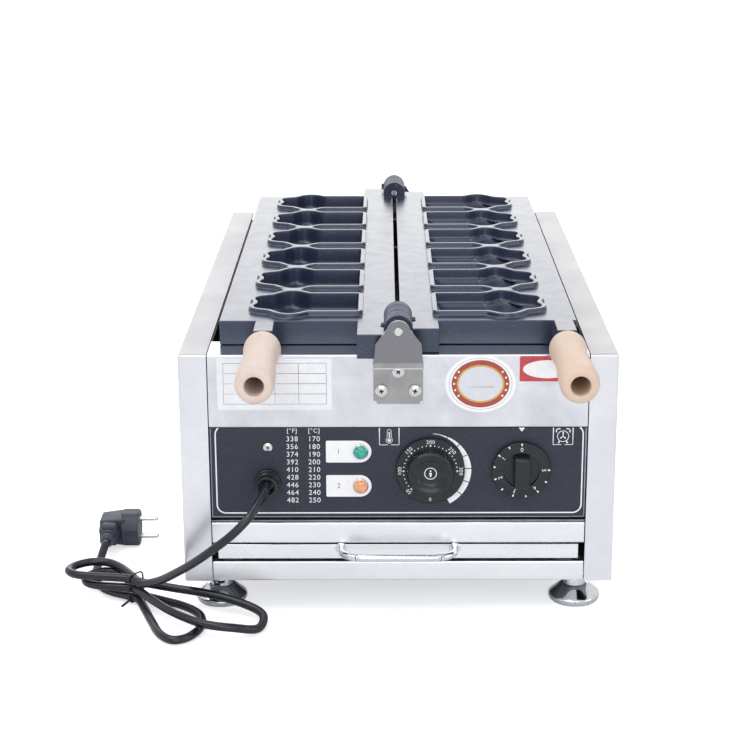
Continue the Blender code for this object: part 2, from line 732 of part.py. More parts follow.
def build_tray():
    half_w = TRAY_BODY_W / 2
    front_half_w = FRONT_HALF_W - TRAY_FRONT_SIDE_GAP
    tray = pan("crumb_tray", (-half_w, FRONT_Y + TRAY_SHEET_T / 2, TRAY_BODY_BOTTOM_Z),
               (half_w, FRONT_Y + TRAY_D, TRAY_BODY_BOTTOM_Z + TRAY_BODY_H),
               [(0, 0, 1)], TRAY_SHEET_T, STAINLESS, 0)
    join(tray, box("tray_front", (-front_half_w, FRONT_Y, TRAY_BOTTOM_Z),
                   (front_half_w, FRONT_Y + SHEET_T, TRAY_TOP_Z), CUTTERS))

    bar_y = FRONT_Y - BOW_REACH
    seat_z = TRAY_TOP_Z - BOW_ROD_R - GAP
    bar_z = seat_z - BOW_DROP
    corner = []
    for step in range(BOW_BEND_STEPS + 1):
        turn = math.radians(90) * step / BOW_BEND_STEPS
        corner.append((BOW_W / 2 - BOW_BEND_R * (1 - math.cos(turn)),
                       BOW_BEND_R * (1 - math.sin(turn))))
    straight = BOW_ROD_R * 2
    right = [(BOW_W / 2, FRONT_Y - GAP, seat_z), (BOW_W / 2, FRONT_Y - GAP - straight, seat_z)]
    slope = (seat_z - bar_z) / (BOW_REACH - GAP - straight)
    right += [(x, bar_y + back, bar_z + slope * back) for x, back in corner]
    left = [(-x, y, z) for x, y, z in reversed(right)]
    bow = tube("tray_bow_handle", right + left, BOW_ROD_R, CHROME, resolution=3)
    pivot("tray_slide_axis", (0, FRONT_Y, TRAY_TOP_Z), [tray, bow])

    runner_front = FRONT_Y + RAIL_D + GAP + SHEET_T + GAP
    floor_z = FOOT_H + SHEET_T + GAP
    shelf_z = TRAY_BODY_BOTTOM_Z - GAP
    for side, name in ((-1, "left"), (1, "right")):
        web_x = half_w + GAP
        points = [(web_x - RUNNER_SHELF_W, shelf_z), (web_x, shelf_z),
                  (web_x, shelf_z + RUNNER_GUIDE_H), (web_x + RUNNER_T, shelf_z + RUNNER_GUIDE_H),
                  (web_x + RUNNER_T, floor_z), (web_x, floor_z), (web_x, shelf_z - RUNNER_T),
                  (web_x - RUNNER_SHELF_W, shelf_z - RUNNER_T)]
        runner = outline_solid(name + "_tray_runner", [(side * x, z) for x, z in points],
                               RUNNER_D, PARTS, GALVANISED, facing="Y")
        runner.location.y = runner_front + RUNNER_D / 2
        for number, (x, y) in enumerate(foot_spots(), 1):
            if x * side > 0:
                cut(runner, rod(f"{name}_runner_notch_{number}", FOOT_BOSS_R + GAP,
                                (x, y, floor_z - CUT_OVERRUN), (x, y, FOOT_H + FOOT_BOSS_H + GAP),
                                CUTTERS, sides=SMALL_ROUND))


# Heating

def build_heating():
    centre_z = TOP_Z - ELEMENT_RISE
    front, back = FRONT_Y + ELEMENT_FRONT, FRONT_Y + ELEMENT_FRONT + ELEMENT_L
    names = ("left_outer_element", "left_inner_element",
             "right_inner_element", "right_outer_element")
    for name, share in zip(names, ELEMENT_SHARES):
        middle_x = PLATE_HALF_W * share
        points = [(middle_x - ELEMENT_HALF_SPAN, front, centre_z)]
        for step in range(ELEMENT_BEND_STEPS + 1):
            turn = math.pi * step / ELEMENT_BEND_STEPS
            points.append((middle_x - ELEMENT_HALF_SPAN * math.cos(turn),
                           back - ELEMENT_HALF_SPAN + ELEMENT_HALF_SPAN * math.sin(turn), centre_z))
        points.append((middle_x + ELEMENT_HALF_SPAN, front, centre_z))
        tube(name, points, ELEMENT_R, ELEMENT_STEEL, resolution=2)
    top = centre_z - ELEMENT_R - GAP
    half_w = INNER_X - GAP - WELL_SHEET_T - GAP
    for name, y in (("front_element_support", front + SUPPORT_INSET),
                    ("rear_element_support", back - SUPPORT_INSET)):
        low = WELL_BOTTOM_Z + WELL_SHEET_T + GAP
        bar = box(name, (-half_w, y, top - SUPPORT_T), (half_w, y + SUPPORT_D, top),
                  PARTS, GALVANISED)
        for side in (-1, 1):
            edge, leg = sorted((side * half_w, side * (half_w - SUPPORT_LEG_W)))
            join(bar, box(f"{name}_leg_{side}", (edge, y + SUPPORT_D / 4, low),
                          (leg, y + SUPPORT_D * 3 / 4, top - SUPPORT_T / 2), CUTTERS))


# Hinge

def knuckle_spans():
    """Front and back of each hinge knuckle, by plate, from the front of the machine."""
    c_start = FRONT_Y - STRIP_FRONT_REACH
    b_start = c_start + KNUCKLE_C_W + KNUCKLE_GAP
    a_start = b_start + KNUCKLE_B_W + KNUCKLE_GAP
    c_end = BACK_Y + STRIP_BACK_REACH
    b_end = c_end - KNUCKLE_C_W - KNUCKLE_GAP
    a_end = b_end - KNUCKLE_B_W - KNUCKLE_GAP
    left = ((c_start, c_start + KNUCKLE_C_W), (a_start, a_start + KNUCKLE_A_W),
            (a_end - KNUCKLE_A_W, a_end), (c_end - KNUCKLE_C_W, c_end))
    right = ((b_start, b_start + KNUCKLE_B_W), (b_end - KNUCKLE_B_W, b_end))
    return left, right


def build_hinge():
    left, _ = knuckle_spans()
    for name, facing, sheet_y, knuckle_out, knuckle_in in (
            ("front", -1, FRONT_Y, left[0][0], left[1][1]),
            ("rear", 1, BACK_Y, left[3][1], left[2][0])):
        collar_in = knuckle_out + facing * GAP
        plate_in = collar_in + facing * (COLLAR_W + GAP)
        plate_out = plate_in + facing * BRACKET_T
        fold_z = TOP_Z - BRACKET_FOLD_Z
        arc = []
        for step in range(BRACKET_ARC_STEPS + 1):
            turn = BRACKET_ARC_START + (math.pi - 2 * BRACKET_ARC_START) * step / BRACKET_ARC_STEPS
            arc.append((BRACKET_TOP_R * math.cos(turn), AXIS_Z + BRACKET_TOP_R * math.sin(turn)))
        shoulder_z = TOP_Z + BRACKET_SHOULDER_Z
        outline = [(BRACKET_W / 2, fold_z), (BRACKET_SHOULDER_W / 2, shoulder_z), *arc,
                   (-BRACKET_SHOULDER_W / 2, shoulder_z), (-BRACKET_W / 2, fold_z)]
        bracket = outline_solid(name + "_hinge_bracket", outline, BRACKET_T, PARTS,
                                BRACKET_STEEL, facing="Y")
        bracket.location.y = (plate_in + plate_out) / 2
        flange_in = sheet_y + facing * GAP
        near, far = sorted((flange_in, plate_out))
        shelf = box(name + "_bracket_shelf", (-BRACKET_W / 2, near, fold_z),
                    (BRACKET_W / 2, far, fold_z + BRACKET_T), CUTTERS)
        near, far = sorted((flange_in, flange_in + facing * BRACKET_T))
        flange = box(name + "_bracket_flange",
                     (-BRACKET_W / 2, near, fold_z - BRACKET_FLANGE_H),
                     (BRACKET_W / 2, far, fold_z + BRACKET_T), CUTTERS)
        round_corners(flange)
        join(bracket, shelf, flange)
        over = facing * CUT_OVERRUN
        cut(bracket, rod(name + "_bracket_pin_hole", PIN_R + PIN_CLEAR,
                         (0, plate_in - over, AXIS_Z), (0, plate_out + over, AXIS_Z), CUTTERS))
        head_seat = flange_in + facing * (BRACKET_T + GAP)
        for number, (x, z) in enumerate(screw_spots(), 1):
            cut(bracket, rod(f"{name}_bracket_hole_{number}", SCREW_R + SCREW_CLEAR,
                             (x, flange_in - over, z),
                             (x, flange_in + facing * BRACKET_T + over, z), CUTTERS,
                             sides=SMALL_ROUND))
            pan_head_screw(f"{name}_bracket_screw_{number}", (x, head_seat, z), facing,
                           SCREW_HEAD_R, SCREW_R, SCREW_L, BRIGHT_STEEL)

        length = abs(plate_out - knuckle_in)
        collar_near = abs(plate_out - collar_in) - COLLAR_W
        turned(name + "_hinge_pin",
               [(0, 0), (PIN_R, 0), (PIN_R, collar_near), (COLLAR_R, collar_near),
                (COLLAR_R, collar_near + COLLAR_W), (PIN_R, collar_near + COLLAR_W),
                (PIN_R, length), (0, length)],
               (0, plate_out, AXIS_Z), (0, -facing, 0), BRIGHT_STEEL)


def round_corners(flange):
    """Round the two lower corners of a bracket's flange."""
    shape = bmesh.new()
    shape.from_mesh(flange.data)
    lowest = min(vertex.co.z for vertex in shape.verts)
    corners = [edge for edge in shape.edges
               if all(abs(vertex.co.z - lowest) < WELD for vertex in edge.verts)
               and abs(edge.verts[0].co.x - edge.verts[1].co.x) < WELD]
    bmesh.ops.bevel(shape, geom=corners, offset=BRACKET_CORNER_R, segments=3, affect="EDGES")
    shape.to_mesh(flange.data)
    shape.free()


def pan_head_screw(name, seat, facing, head_r, shank_r, length, material):
    """Screw whose head stands out of its seat, towards the front (-1) or the back (1)."""
    flat = head_r * SCREW_HEAD_FLAT_R / SCREW_HEAD_R
    rise = head_r * SCREW_HEAD_H / SCREW_HEAD_R
    profile = [(0, 0), (shank_r, 0), (shank_r, length), (head_r, length),
               (head_r, length + rise / 3), (flat, length + rise), (0, length + rise)]
    start = (seat[0], seat[1] - facing * length, seat[2])
    return turned(name, profile, start, (0, facing, 0), material, steps=SMALL_ROUND)


# Moulds

def bear_outline(middle_y, side):
    """Plan of one hollow, from its flat end round by the ears."""
    length = CAVITY_TIP_X - CAVITY_INNER_X
    half = [(side * (CAVITY_TIP_X - along * length), out * CAVITY_HALF_W)
            for along, out in BEAR_SHARES]
    upper = [(x, middle_y + out) for x, out in reversed(half)]
    lower = [(x, middle_y - out) for x, out in half[1:]]
    points = upper + lower
    return points if side > 0 else points[::-1]


def widened(points, distance):
    """The same outline with every side moved outwards."""
    count = len(points)
    area = sum(points[i - 1][0] * points[i][1] - points[i][0] * points[i - 1][1]
               for i in range(count))
    turn = 1 if area > 0 else -1
    moved = []
    for i in range(count):
        spot = Vector(points[i])
        before = (spot - Vector(points[i - 1])).normalized()
        after = (Vector(points[(i + 1) % count]) - spot).normalized()
        out_before = Vector((before.y, -before.x)) * turn
        out_after = Vector((after.y, -after.x)) * turn
        mitre = (out_before + out_after) / (1 + out_before.dot(out_after))
        moved.append(tuple(spot + mitre * distance))
    return moved


def drafted_hollow(name, outline, depth):
    """Cutter for a hollow that narrows towards its floor."""
    height = depth + CUT_OVERRUN
    made = outline_solid(name, outline, height, CUTTERS)
    made.location.z = RIM_TOP_Z - depth + height / 2
    floor = [vertex for vertex in made.data.vertices if vertex.co.z < 0]
    for vertex in floor:
        vertex.co.x *= CAVITY_DRAFT_SCALE
        vertex.co.y *= CAVITY_DRAFT_SCALE
    return made


def plate_outline(side, front_y, back_y, handle_x):
    """Plan of one casting: mould bed, hinge strip that runs past it, and handle lug."""
    inner, strip, outer = STRIP_SLOT / 2, STRIP_SLOT / 2 + STRIP_W, PLATE_HALF_W
    bed_front = FRONT_Y + PLATE_SETBACK
    bed_back = bed_front + PLATE_D
    lug_in, lug_out = abs(handle_x) - LUG_W / 2, abs(handle_x) + LUG_W / 2
    lug_front = FRONT_Y - LUG_REACH
    points = [(inner, front_y), (strip, front_y), (strip, bed_front), (lug_in, bed_front),
              (lug_in, lug_front), (lug_out, lug_front), (lug_out, bed_front),
              (outer, bed_front), (outer, bed_back), (strip, bed_back), (strip, back_y),
              (inner, back_y)]
    return [(side * x, y) for x, y in points]


def build_mould(name, side, own_spans, other_spans, handle_x):
    strip_front, strip_back = own_spans[0][0] + GAP, own_spans[-1][1] - GAP
    plate = outline_solid(name + "_mould_plate",
                          plate_outline(side, strip_front, strip_back, handle_x),
                          PLATE_T, PARTS, CAST_COATING)
    plate.location.z = PLATE_BOTTOM_Z + PLATE_T / 2
    added, taken = [], []
    for number in range(1, CAVITIES + 1):
        middle_y = FRONT_Y + CAVITY_FIRST + CAVITY_PITCH * (number - 1)
        outline = bear_outline(middle_y, side)
        rim = outline_solid(f"{name}_rim_{number}", widened(outline, RIM_W), RIM_H * 2, CUTTERS)
        rim.location.z = RIM_TOP_Z - RIM_H
        added.append(rim)
        depth = CAVITY_DEPTH if side < 0 else WELL_STEP
        taken.append(drafted_hollow(f"{name}_hollow_{number}", outline, depth))
        if side > 0:
            taken += rounded_hollows(f"{name}_{number}", middle_y, side)
    for number, (start, end) in enumerate(own_spans, 1):
        added.append(rod(f"{name}_knuckle_{number}", KNUCKLE_R, (0, start, AXIS_Z),
                         (0, end, AXIS_Z), CUTTERS))
    for number, (start, end) in enumerate(other_spans, 1):
        if start > strip_front and end < strip_back:
            taken.append(rod(f"{name}_notch_{number}", KNUCKLE_R + NOTCH_CLEAR,
                             (0, start - GAP, AXIS_Z), (0, end + GAP, AXIS_Z), CUTTERS))
    middle = len(own_spans) // 2
    for end_name, start, end in (("front", own_spans[0][0], own_spans[middle - 1][1]),
                                 ("rear", own_spans[middle][0], own_spans[-1][1])):
        taken.append(rod(f"{name}_{end_name}_bore", PIN_R + PIN_CLEAR,
                         (0, start - CUT_OVERRUN, AXIS_Z), (0, end + CUT_OVERRUN, AXIS_Z),
                         CUTTERS))
    lug_front = FRONT_Y - LUG_REACH
    rod_z = TOP_Z + ROD_Z
    taken.append(rod(name + "_rod_socket", ROD_R + ROD_CLEAR,
                     (handle_x, lug_front - CUT_OVERRUN, rod_z),
                     (handle_x, lug_front + ROD_SOCKET_D + GAP, rod_z), CUTTERS,
                     sides=SMALL_ROUND))
    combine_all(plate, name + "_raised", added, "UNION")
    combine_all(plate, name + "_hollowed", taken, "DIFFERENCE")
    pieces = [plate] + build_handle(name, handle_x, lug_front, rod_z)
    pivot(name + "_mould_axis", (0, FRONT_Y, AXIS_Z), pieces)


def rounded_hollows(name, middle_y, side):
    """Belly, head and trunk hollows in the floor of a right-hand mould."""
    length = CAVITY_TIP_X - CAVITY_INNER_X
    level = RIM_TOP_Z - WELL_STEP + HOLLOW_LIFT
    rise = CAVITY_DEPTH - WELL_STEP + HOLLOW_LIFT
    belly = ellipsoid(name + "_belly", (*BELLY_R, rise),
                      (side * (CAVITY_TIP_X - BELLY_ALONG_SHARE * length), middle_y, level))
    head = ellipsoid(name + "_head", (*HEAD_R, rise),
                     (side * (CAVITY_TIP_X - HEAD_ALONG_SHARE * length), middle_y, level))
    start = CAVITY_TIP_X - TRUNK_START_SHARE * length
    end = CAVITY_TIP_X - TRUNK_END_SHARE * length
    trunk = rod(name + "_trunk", TRUNK_R, (side * start, middle_y, 0), (side * end, middle_y, 0),
                CUTTERS, sides=SMALL_ROUND)
    trunk.data.transform(Matrix.Diagonal((1, 1, rise / TRUNK_R, 1)))
    trunk.location.z = level
    return belly, head, trunk


def build_handle(name, x, lug_front, rod_z):
    tip_y = FRONT_Y - ROD_TIP_REACH
    bar = rod(name + "_handle_rod", ROD_R, (x, lug_front + ROD_SOCKET_D, rod_z),
              (x, tip_y, rod_z), PARTS, BRIGHT_STEEL, sides=SMALL_ROUND)
    front = FRONT_Y - GRIP_FRONT_REACH
    bore_r = ROD_R + ROD_CLEAR
    grip = turned(name + "_wooden_grip",
                  [(GRIP_BORE_R, 0), (GRIP_TIP_R, 0),
                   *((GRIP_BELLY_R, GRIP_L * share) for share in GRIP_BELLY_SHARES),
                   (GRIP_WAIST_R, GRIP_L * GRIP_WAIST_SHARE),
                   *((GRIP_FAR_R, GRIP_L * share) for share in GRIP_FAR_SHARES),
                   (GRIP_END_R, GRIP_L), (bore_r, GRIP_L), (bore_r, GRIP_BORE_D),
                   (GRIP_BORE_R, GRIP_BORE_D), (GRIP_BORE_R, 0)],
                  (x, front, rod_z), (0, 1, 0), GRIP_WOOD, steps=24)
    nut_back = front + GRIP_BORE_D - GAP
    nut = rod(name + "_handle_nut", NUT_R, (x, nut_back - NUT_H, rod_z), (x, nut_back, rod_z),
              PARTS, BRIGHT_STEEL, sides=6)
    cut(nut, rod(name + "_nut_bore", bore_r, (x, nut_back - NUT_H - CUT_OVERRUN, rod_z),
                 (x, nut_back + CUT_OVERRUN, rod_z), CUTTERS, sides=SMALL_ROUND))
    return [bar, grip, nut]


# Controls

def build_controls():
    panel = box("control_panel", (-FRONT_HALF_W, PANEL_FACE_Y, PANEL_BOTTOM_Z),
                (FRONT_HALF_W, PANEL_BACK_Y, PANEL_TOP_Z), PARTS, PANEL_PAINT)

    def hole(name, x, z, radius):
        cut(panel, rod(name + "_hole", radius, (x, PANEL_FACE_Y - CUT_OVERRUN, z),
                       (x, PANEL_BACK_Y + CUT_OVERRUN, z), CUTTERS, sides=SMALL_ROUND))

    hole("thermostat", DIAL_X, DIAL_Z, BUSH_R + SHAFT_CLEAR)
    hole("timer", TIMER_X, TIMER_Z, BUSH_R + SHAFT_CLEAR)
    for name, x, z, width, height, depth in (
            ("thermostat_body", DIAL_X, DIAL_Z, THERMOSTAT_W, THERMOSTAT_H, THERMOSTAT_D),
            ("timer_body", TIMER_X, TIMER_Z, TIMER_BODY_W, TIMER_BODY_H, TIMER_BODY_D)):
        near = PANEL_BACK_Y + GAP
        body = box(name, (x - width / 2, near, z - height / 2),
                   (x + width / 2, near + depth, z + height / 2), PARTS, CERAMIC)
        join(body,
             rod(name + "_bush", BUSH_R, (x, near + depth / 2, z), (x, PANEL_FACE_Y, z),
                 CUTTERS, sides=SMALL_ROUND),
             rod(name + "_shaft", SHAFT_R, (x, near + depth / 3, z),
                 (x, PANEL_FACE_Y - SHAFT_REACH, z), CUTTERS, sides=SMALL_ROUND))

    seat = PANEL_FACE_Y - KNOB_SEAT
    dial = turned("temperature_knob",
                  [(0, 0), (DIAL_SKIRT_R, 0), (DIAL_SKIRT_R, DIAL_SKIRT_T),
                   (DIAL_CAP_R, DIAL_SKIRT_T), (DIAL_CAP_R - DIAL_CAP_TAPER, DIAL_CAP_H),
                   (0, DIAL_CAP_H)],
                  (DIAL_X, seat, DIAL_Z), (0, -1, 0), BLACK_PLASTIC)
    cut(dial, knob_socket("dial", DIAL_X, seat, DIAL_Z))
    pivot("temperature_knob_axis", (DIAL_X, seat, DIAL_Z), [dial])

    skirt = rod("timer_knob", TIMER_SKIRT_R, (TIMER_X, seat, TIMER_Z),
                (TIMER_X, seat - TIMER_SKIRT_T, TIMER_Z), PARTS, BLACK_PLASTIC)
    grip = box("timer_grip", (TIMER_X - TIMER_BAR_W / 2, seat - TIMER_SKIRT_T - TIMER_BAR_H,
                              TIMER_Z - TIMER_BAR_L / 2),
               (TIMER_X + TIMER_BAR_W / 2, seat - TIMER_SKIRT_T / 2,
                TIMER_Z + TIMER_BAR_L / 2), CUTTERS)
    ease = grip.modifiers.new("ease", "BEVEL")
    ease.width = TIMER_BAR_BEVEL
    ease.segments = 2
    join(skirt, grip)
    cut(skirt, knob_socket("timer", TIMER_X, seat, TIMER_Z))
    pivot("timer_knob_axis", (TIMER_X, seat, TIMER_Z), [skirt])

    for colour, z, lens_finish in (("green", GREEN_LAMP_Z, GREEN_LENS),
                                   ("orange", ORANGE_LAMP_Z, ORANGE_LENS)):
        hole(colour + "_lamp", LAMP_X, z, LAMP_LENS_R + LAMP_CLEAR)
        bezel_bore = LAMP_LENS_R + LAMP_CLEAR
        turned(colour + "_lamp_bezel",
               [(bezel_bore, 0), (LAMP_BEZEL_R, 0), (LAMP_BEZEL_R, LAMP_BEZEL_T),
                (bezel_bore, LAMP_BEZEL_T), (bezel_bore, 0)],
               (LAMP_X, PANEL_FACE_Y - GAP, z), (0, -1, 0), CHROME, steps=20)
        tip = LAMP_BODY_D + LAMP_BEZEL_T
        turned(colour + "_lamp_lens",
               [(0, 0), (LAMP_LENS_R, 0), (LAMP_LENS_R, tip),
                (LAMP_LENS_R * LAMP_DOME_SHARES[0], tip + LAMP_LENS_RISE * LAMP_DOME_SHARES[1]),
                (0, tip + LAMP_LENS_RISE)],
               (LAMP_X, PANEL_FACE_Y + LAMP_BODY_D, z), (0, -1, 0), lens_finish, steps=20)

    hole("panel_screw", PANEL_SCREW_X, PANEL_SCREW_Z, PANEL_SCREW_SHANK_R + SCREW_CLEAR)
    pan_head_screw("panel_screw", (PANEL_SCREW_X, PANEL_FACE_Y - GAP, PANEL_SCREW_Z), -1,
                   PANEL_SCREW_R, PANEL_SCREW_SHANK_R, PANEL_SCREW_L, BRIGHT_STEEL)

    shelf_z = MID_RAIL_TOP_Z + GAP + WELL_SHEET_T + GAP
    terminal_y = FRONT_Y + BAY_D - WELL_SHEET_T - GAP - TERMINAL_D
    block = box("terminal_block", (TERMINAL_X - TERMINAL_W / 2, terminal_y, shelf_z),
                (TERMINAL_X + TERMINAL_W / 2, terminal_y + TERMINAL_D, shelf_z + TERMINAL_H),
                PARTS, CERAMIC)
    for number in range(1, TERMINAL_SLOTS + 1):
        x = TERMINAL_X - TERMINAL_W / 2 + TERMINAL_W * number / (TERMINAL_SLOTS + 1)
        top = shelf_z + TERMINAL_H
        cut(block, box(f"terminal_slot_{number}",
                       (x - TERMINAL_SLOT_W / 2, terminal_y - CUT_OVERRUN, top - TERMINAL_SLOT_H),
                       (x + TERMINAL_SLOT_W / 2, terminal_y + TERMINAL_D + CUT_OVERRUN,
                        top + CUT_OVERRUN), CUTTERS))

    hole("gland", GLAND_X, GLAND_Z, GLAND_BODY_R + GLAND_CLEAR)
    inner = GLAND_BODY_D
    flange = inner + GAP
    turned("cord_gland",
           [(0, 0), (GLAND_BODY_R, 0), (GLAND_BODY_R, flange), (GLAND_FLANGE_R, flange),
            (GLAND_FLANGE_R, flange + GLAND_FLANGE_T), (GLAND_NOSE_R, flange + GLAND_FLANGE_T),
            (GLAND_TIP_R, inner + GLAND_REACH), (GLAND_MOUTH_R, inner + GLAND_REACH),
            (GLAND_MOUTH_R, inner + GLAND_REACH - GLAND_MOUTH_D),
            (0, inner + GLAND_REACH - GLAND_MOUTH_D)],
           (GLAND_X, PANEL_FACE_Y + inner, GLAND_Z), (0, -1, 0), BLACK_PLASTIC, steps=20)


def knob_socket(name, x, seat, z):
    """Blind hole in the back of a knob for its shaft."""
    return rod(name + "_socket", SHAFT_R + SHAFT_CLEAR, (x, seat + CUT_OVERRUN, z),
               (x, seat - KNOB_SOCKET_D, z), CUTTERS, sides=SMALL_ROUND)


# Mains cord: the free lead, the tied hank and the tail to the plug

LEAD_ROUTE = (
    (-0.1230, -0.3070, 0.1298), (-0.1330, -0.3260, 0.1185), (-0.1490, -0.3330, 0.1030),
    (-0.1680, -0.3310, 0.0870), (-0.1870, -0.3180, 0.0690), (-0.2060, -0.2990, 0.0510),
    (-0.2230, -0.2795, 0.0355))
TAIL_ROUTE = (
    (-0.2850, -0.2270, 0.0047), (-0.2950, -0.2090, 0.0047), (-0.2985, -0.1880, 0.0052),
    (-0.2970, -0.1680, 0.0100))

# The hank passes its tie five times, by turns to the left and to the right. Layer of each pass.
TIE_LAYERS = (2, 1.5, 1, 0, 0)

# Between two passes it makes a lobe: its length, its reach across, how far its tip leans to the
# casing's side (a share of the length), and its heights at every eighth of its way.
LOBES = (
    (0.074, 0.029, -0.12,
     (0.0252, 0.0252, 0.0242, 0.0230, 0.0220, 0.0217, 0.0215, 0.0212, 0.0206)),
    (0.138, 0.040, 0.14,
     (0.0206, 0.0200, 0.0175, 0.0110, 0.0047, 0.0128, 0.0146, 0.0155, 0.0160)),
    (0.060, 0.026, 0.00,
     (0.0160, 0.0158, 0.0148, 0.0143, 0.0139, 0.0128, 0.0108, 0.0082, 0.0068)),
    (0.100, 0.037, -0.32,
     (0.0068, 0.0055, 0.0047, 0.0047, 0.0047, 0.0047, 0.0047, 0.0055, 0.0068)))


def lobe_knots(length, reach_across, lean, heights, side, along, column):
    """Knots of one teardrop-shaped lobe, from the tie and back to it."""
    across = column.normalized()
    knots = []
    for step in range(2, LOBE_STEPS - 1):
        share = step / LOBE_STEPS
        turn = math.tau * share
        far = (1 - math.cos(turn)) / 2
        out = reach_across * math.sin(turn) * far
        eighth = share * (len(heights) - 1)
        before = min(int(eighth), len(heights) - 2)
        blend = (1 - math.cos(math.pi * (eighth - before))) / 2
        rise = heights[before] + (heights[before + 1] - heights[before]) * blend
        knots.append((along * far * length + across * out + column * math.cos(math.pi * share)) * side
                     + across * lean * length * far ** 2 + Vector((0, 0, rise)))
    return knots


def hank_knots():
    """Knots of the hank from its upper end, at the tie, to its lower end."""
    along = Vector((math.cos(TIE_TURN), math.sin(TIE_TURN), 0))
    column = Vector((-along.y, along.x, 0)) * HANK_COLUMN / 2
    tie = Vector((*HANK_TIE, 0))
    knots = []
    for number, layer in enumerate(TIE_LAYERS):
        side = -1 if number % 2 == 0 else 1
        height = Vector((0, 0, HANK_LOW_Z + HANK_LAYER * layer))
        for reach in (-CORD_R, CORD_R * 2)[::side]:
            knots.append(tie + column * side + along * reach + height)
        if number < len(LOBES):
            knots += [tie + knot for knot in lobe_knots(*LOBES[number], side, along, column)]
    knots.append(tie - column - along * CORD_R * 5 + Vector((0, 0, HANK_END_Z)))
    return knots


def least_gap(points, skip):
    """Least space between stretches of a cord that aren't neighbours along it."""
    least = math.inf
    for i, spot in enumerate(points):
        for other in points[i + skip:]:
            least = min(least, (spot - other).length)
    return least - CORD_R * 2


def build_cord():
    knots = hank_knots()
    loops = len(LOBES) // 2
    _, length = smooth_route(knots, CORD_SPACING)
    spacing = length / (HANK_POINTS * (loops + 0.5))
    hank, hank_length = smooth_route(knots, spacing)
    fine, _ = smooth_route(knots, CORD_R / 2)
    print(f"hank: {hank_length:.3f} m, least gap to itself "
          f"{least_gap(fine, 14) * 1000:.2f} mm on {len(fine)} points")
    tube("cord_hank", hank, CORD_R, CORD_RUBBER, resolution=1)

    gland_tip = Vector((GLAND_X, PANEL_FACE_Y - GLAND_REACH + GLAND_MOUTH_D, GLAND_Z))
    out = Vector((0, -1, 0))
    start = hank[0]
    into = (hank[1] - hank[0]).normalized()
    lead_knots = [gland_tip + out * GAP, gland_tip + out * (GAP + CORD_R * 2),
                  *LEAD_ROUTE, start - into * (GAP + CORD_R * 2), start - into * GAP]
    lead, lead_length = smooth_route(lead_knots, CORD_SPACING, straight_ends=True)
    tube("power_cord", lead, CORD_R, CORD_RUBBER, resolution=3)

    end = hank[-1]
    onward = (hank[-1] - hank[-2]).normalized()
    neck_tip = Vector((PLUG_X - PLUG_FACE_T - PLUG_HOOD_L / 2,
                       PLUG_Y - PLUG_HOOD_W / 2 - PLUG_NECK_L, PLUG_Z))
    tail_knots = [end + onward * GAP, end + onward * (GAP + CORD_R * 2), *TAIL_ROUTE,
                  neck_tip + out * (GAP + CORD_R * 2), neck_tip + out * GAP]
    tail, tail_length = smooth_route(tail_knots, CORD_SPACING, straight_ends=True)
    tube("cord_tail", tail, CORD_R, CORD_RUBBER, resolution=3)
    print(f"lead {lead_length:.3f} m, tail {tail_length:.3f} m, "
          f"cord {lead_length + hank_length + tail_length:.3f} m")

    half_w = HANK_COLUMN / 2 + CORD_R + TIE_CLEAR + TIE_WIRE_R
    low = HANK_LOW_Z - CORD_R - TIE_CLEAR - TIE_WIRE_R
    high = HANK_LOW_Z + HANK_LAYER * loops + CORD_R + TIE_CLEAR + TIE_WIRE_R
    corner = CORD_R + TIE_WIRE_R
    back = Vector((-math.sin(TIE_TURN), math.cos(TIE_TURN), 0))
    ring = []
    for side, level, start_turn in ((1, high, 0), (-1, high, 90), (-1, low, 180), (1, low, 270)):
        for step in range(4):
            turn = math.radians(start_turn + 30 * step)
            across = side * (half_w - corner) + corner * math.cos(turn)
            rise = (level - corner if level == high else level + corner) + corner * math.sin(turn)
            ring.append(Vector((*HANK_TIE, 0)) + back * across + Vector((0, 0, rise)))
    tube("cord_tie", ring, TIE_WIRE_R, BLACK_PLASTIC, resolution=1, closed=True)


